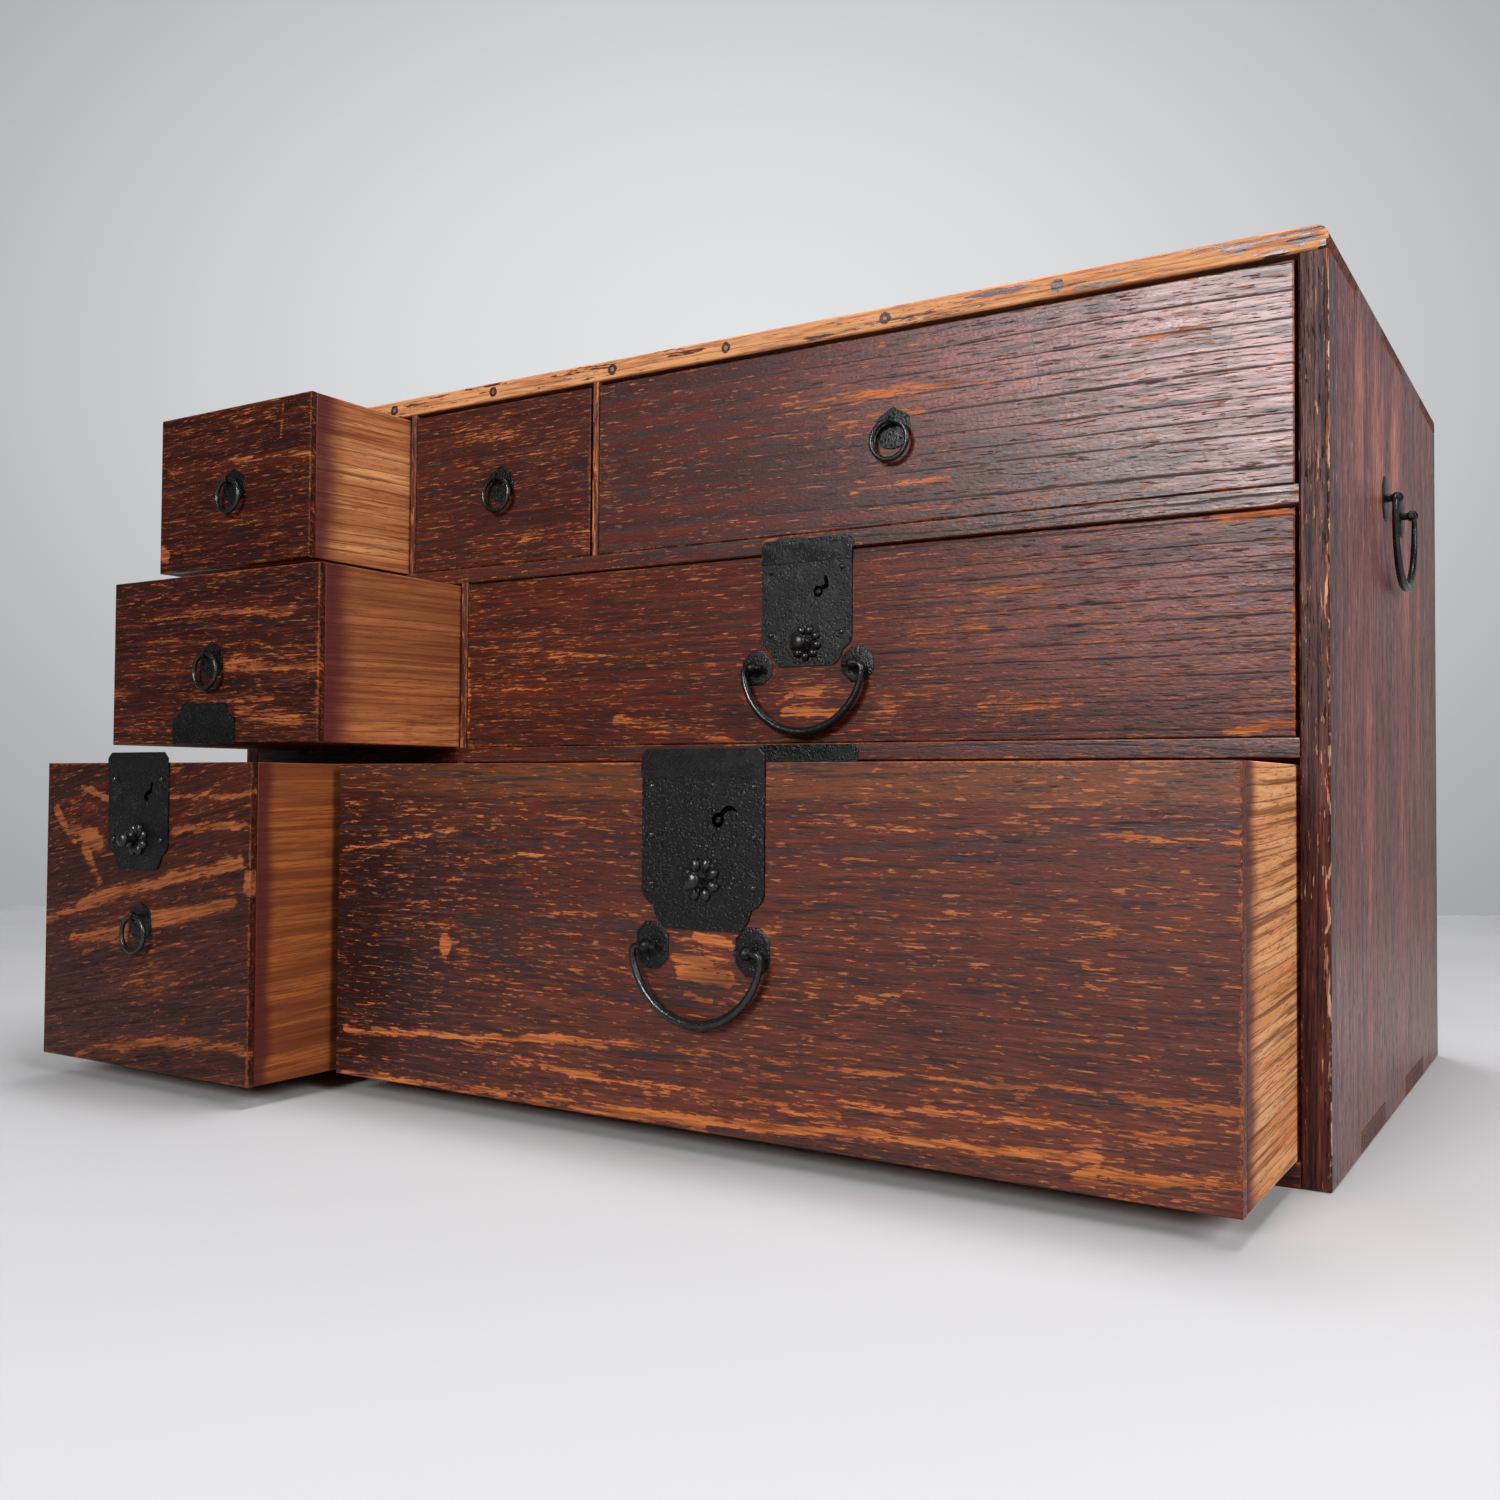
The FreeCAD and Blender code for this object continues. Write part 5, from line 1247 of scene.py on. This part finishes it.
def addBails():
    spec = bailPull
    reach = spec["plateThickness"] + spec["eyeReach"]
    for name in ("middle_wide", "bottom_wide"):
        low, high = boxOf(name + "_bail_mounts")
        frontAt = boxOf(name + "_drawer_front")[0].y
        place = ((low.x + high.x) / 2, frontAt, high.z - spec["plateHeight"] / 2 * mm)
        shape = {**spec, **bails[name]}
        mounts = joined(name + "_bail_mounts_iron", bailMounts(shape, bails[name]))
        bail = forgedBail(shape, bails[name], reach)
        bail.name = name + "_bail_iron"
        placeAll([mounts, bail], place)
        carried(ironed(mounts, plateIron), name + "_drawer", "black_iron", name + "_bail_mounts")
        carried(ironed(bail, rubbedAndHighlitIron), name + "_bail_body", "black_iron", name + "_bail")
    height = boxOf("carrying_handle_mounts")[1].z - spec["plateHeight"] / 2 * mm
    shape = {**spec, **bails["carrying"]}
    both = []
    for side, sign in (("left", -1), ("right", 1)):
        low, high = boxOf(side + "_side_panel")
        place = (high.x if sign > 0 else low.x, 0.0, height)
        mounts = joined(side + "Mounts", bailMounts(shape, bails["carrying"]))
        bail = forgedBail(shape, bails["carrying"], reach)
        bail.name = side + "_carrying_handle_iron"
        placeAll([mounts, bail], place, sign * math.radians(90))
        both.append(mounts)
        carried(ironed(bail, rubbedAndHighlitIron), side + "_carrying_handle_body", "black_iron",
                side + "_carrying_handle")
    mounts = joined("carrying_handle_mounts_iron", both)
    carried(ironed(mounts, plateIron), "case", "black_iron", "carrying_handle_mounts")


addBails()
print("bails made")


# Push-button locks: plate with lobed lower corners, strip, rosette, keyhole, nails, mushroom knob

locks = {
    "middle_wide": {"width": 65.0, "height": 77.5, "rise": 6.0, "strip": 11.8, "knobDrop": 63.0,
                    "rosette": 11.4, "petals": 9, "petal": (2.8, 3.1, 1.1, 0.85), "nailRows": 2,
                    "key": (8.6, 31.0, 3.6),
                    "keyTail": [(0.0, 0.0, 1.4), (4.2, 2.6, 1.5), (6.1, 3.6, 1.8), (5.9, 6.0, 1.5),
                                (5.4, 8.6, 1.1)]},
    "bottom_wide": {"width": 82.0, "height": 101.0, "rise": 7.6, "strip": 16.2, "knobDrop": 72.8,
                    "rosette": 12.8, "petals": 8, "petal": (3.1, 4.2, 1.35, 0.75), "nailRows": 3,
                    "key": (10.9, 39.6, 4.2),
                    "keyTail": [(1.8, 2.5, 1.6), (3.1, 4.2, 1.6), (4.9, 5.6, 1.6), (7.0, 6.5, 1.5),
                                (9.2, 6.6, 1.2), (12.0, 5.2, 0.7)]},
    "bottom_left": {"width": 64.5, "height": 78.7, "rise": 7.0, "strip": 13.3, "knobDrop": 58.4,
                    "rosette": 11.4, "petals": 8, "petal": (3.1, 4.2, 1.35, 0.75), "nailRows": 2,
                    "key": (9.6, 31.0, 1.6),
                    "keyTail": [(0.0, 0.0, 1.8), (-1.6, 0.6, 1.6), (-1.2, 2.6, 1.5), (1.4, 3.6, 1.4),
                                (4.2, 5.0, 1.5), (5.2, 9.6, 1.1)]},
}
lockWork = {
    "thickness": 1.2, "stripThickness": 0.8, "overhang": 0.3, "stripCorner": 4.0,
    "cornerRise": 0.26, "cusp": (0.10, 0.15), "inner": 0.20, "bulge": 0.014,
    "post": 1.6, "nailHead": 2.0, "nailInset": 6.8, "backing": 0.3,
    "stemHole": 2.7, "stem": 2.5, "knob": 5.0, "knobFlat": 0.56,
}


def lobedCorner(width, low):
    # the outline's lower right corner: two lobes with a cusp between
    work = lockWork
    half = width / 2
    a = (half, low + width * work["cornerRise"])
    c = (half - width * work["cusp"][0], low + width * work["cusp"][1])
    e = (half - width * work["inner"], low)
    bulge = width * work["bulge"]
    points = []
    for first, last in ((a, c), (c, e)):
        pull = [(a + b) / 2 + 2 * out for a, b, out in zip(first, last, (bulge, -bulge))]
        for i in range(12):
            t = i / 12
            points.append([(1 - t) ** 2 * a + 2 * t * (1 - t) * p + t * t * b
                           for a, p, b in zip(first, pull, last)])
    return points + [e]


def lockPlate(spec):
    # the outline as a row of points, filled and thickened
    low = spec["rise"] - spec["height"]
    right = lobedCorner(spec["width"], low)
    outline = [(spec["width"] / 2, 0.0)] + right
    outline += [(-x, z) for x, z in reversed(outline)]
    bpy.ops.mesh.primitive_circle_add(vertices=len(outline), radius=0.01, fill_type="NGON",
                                      rotation=(math.radians(90), 0, 0))
    plate = settled(bpy.context.object)
    for point, (x, z) in zip(plate.data.vertices, outline):
        point.co = (x * mm, 0, z * mm)
    editMode(plate)
    bpy.ops.mesh.normals_make_consistent(inside=False)
    objectMode()
    if plate.data.polygons[0].normal.y > 0:
        editMode(plate)
        bpy.ops.mesh.flip_normals()
        objectMode()
    finishModifier(plate, "SOLIDIFY", thickness=lockWork["thickness"] * mm, offset=1.0)
    return plate


def rosettePiece(spec, seat):
    # raised petals on a low disc round the stem
    rim = spec["rosette"]
    disc = ease(rodPiece((rim - 2.2) * mm, (0, seat * mm, 0), (0, (seat - 0.8) * mm, 0), 40), 0.3 * mm)
    parts = [disc]
    radius, inset, tall, flat = spec["petal"]
    away = rim - inset
    for i in range(spec["petals"]):
        turn = 2 * math.pi * (i + 0.5) / spec["petals"]
        petal = ballPiece(radius * mm, (0, 0, 0), (1.0, tall, flat), 20, 12)
        petal.rotation_euler.y = turn
        petal.location = (away * math.sin(turn) * mm, (seat - 0.9) * mm, away * math.cos(turn) * mm)
        parts.append(settled(petal))
    return parts


def through(radius, x, z, fromY, toY, sides):
    # a rod square to the front, measures in mm
    return rodPiece(radius * mm, (x * mm, fromY * mm, z * mm), (x * mm, toY * mm, z * mm), sides)


def keyholeTool(spec, keyX, keyZ):
    # a round hole and a tapering tail, as one row of rods along the tail's line
    rods = [(0.0, 0.0, spec["key"][2])]
    for (x1, z1, r1), (x2, z2, r2) in zip(spec["keyTail"], spec["keyTail"][1:]):
        rods += [(x1 + (x2 - x1) * i / 5, z1 + (z2 - z1) * i / 5, r1 + (r2 - r1) * i / 5) for i in range(6)]
    return [through(r, keyX + x, keyZ + z, -4, 4, 20) for x, z, r in rods]


def addLock(name):
    spec, work = locks[name], lockWork
    low, high = boxOf(name + "_lock_plate")
    frontAt = boxOf(name + "_drawer_front")[0].y
    place = ((low.x + high.x) / 2, frontAt, high.z - spec["rise"] * mm)
    bottom = spec["rise"] - spec["height"]
    seam = spec["rise"] - spec["strip"]
    knobZ = spec["rise"] - spec["knobDrop"]
    seat = -work["thickness"]
    plate = lockPlate(spec)
    keyX, keyZ = spec["key"][0], spec["rise"] - spec["key"][1]
    for tool in keyholeTool(spec, keyX, keyZ):
        cutWith(plate, tool)
    cutWith(plate, through(work["stemHole"], 0, knobZ, -4, 4, 32))
    ease(plate, 0.25 * mm, 2, 50)
    wide = spec["width"] / 2 + work["overhang"]
    strip = boxPiece((-wide * mm, (seat - work["stripThickness"]) * mm, seam * mm),
                     (wide * mm, seat * mm, spec["rise"] * mm))
    bevelPicked(strip, work["stripCorner"] * mm,
                lambda a, b: abs(a.y - b.y) > 0.3 * mm and a.z > (spec["rise"] - 1) * mm)
    ease(strip, 0.15 * mm, 2)
    # a near-black disc behind the keyhole: painted shade seen through the hole
    backing = through(spec["key"][2] + 9, keyX, keyZ + 2, -work["backing"], 0, 32)
    parts = [plate, strip, backing]
    if spec["key"][2] > 2:
        post = through(work["post"], keyX, keyZ, seat, 12, 20)
        parts.append(ease(post, 0.2 * mm))
    flower = rosettePiece(spec, seat)
    placeAll(flower, (0, 0, knobZ * mm))
    parts += flower
    inset = spec["width"] / 2 - work["nailInset"]
    rows = [seam - work["nailInset"] + work["nailHead"],
            bottom + spec["width"] * work["cornerRise"] + work["nailInset"] / 2]
    if spec["nailRows"] > 2:
        rows.append((rows[0] + rows[1]) / 2)
    for z in rows:
        for side in (-1, 1):
            middle = (side * inset * mm, seat * mm, z * mm)
            parts.append(ballPiece(work["nailHead"] * mm, middle, (1, 1, 0.85), 14, 8))
    placeAll(parts, place)
    inside = boxOf(name + "_lock_plate")[1].y
    cover = coverPlate(name, inside)
    iron = joined(name + "_lock_plate_iron", parts + [cover])
    ironed(iron, plateIron)
    iron.data.materials.append(rubbedAndHighlitIron)
    iron.data.materials.append(keyholeShade)
    # the faces ahead of the strip, the rosette's petals and the nail heads, take the lighter iron: partly
    # rubbed wear, partly painted highlight
    for face in iron.data.polygons:
        ahead = (place[1] - face.center.y) / mm
        hole = abs(ahead - work["backing"]) < 0.02
        face.material_index = 1 if ahead > work["stripThickness"] - seat - 0.05 else 2 if hole else 0
    carried(iron, name + "_drawer", "black_iron", name + "_lock_plate")
    knobLow, knobHigh = boxOf(name + "_lock_knob")
    knobPlace = ((knobLow.x + knobHigh.x) / 2, 0, place[2] + knobZ * mm)
    middle = (knobPlace[0], knobLow.y + work["knob"] * work["knobFlat"] * mm, knobPlace[2])
    head = ballPiece(work["knob"] * mm, middle, (1, 1, work["knobFlat"]), 40, 24)
    stem = rodPiece(work["stem"] * mm, (knobPlace[0], knobLow.y + 3 * mm, knobPlace[2]),
                    (knobPlace[0], knobHigh.y - 6 * mm, knobPlace[2]), 28)
    knob = joined(name + "_lock_knob_iron", [head, stem])
    carried(ironed(knob, rubbedAndHighlitIron), name + "_lock_knob_body", "black_iron", name + "_lock_knob")
    nodes[name + "_lock_bolt"].data.materials.clear()
    nodes[name + "_lock_bolt"].data.materials.append(plateIron)


def coverPlate(name, inside):
    # the iron cover behind the lock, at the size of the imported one
    points = [v.co for v in nodes[name + "_lock_plate"].data.vertices if abs(v.co.y - inside) < 0.05 * mm]
    low = Vector([min(p[i] for p in points) for i in range(3)])
    high = Vector([max(p[i] for p in points) for i in range(3)])
    return ease(boxPiece((low.x, inside - 1.0 * mm, low.z), (high.x, inside, high.z)), 0.3 * mm)


for name in locks:
    addLock(name)
print("locks made")

for name in ("rail_strike_plates", "middle_left_strike_plate"):
    plate = boardCopy(name)
    plate.name = name + "_iron"
    ironed(plate, plateIron, 30)
    carried(plate, nodes[name]["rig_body"], "black_iron", name)
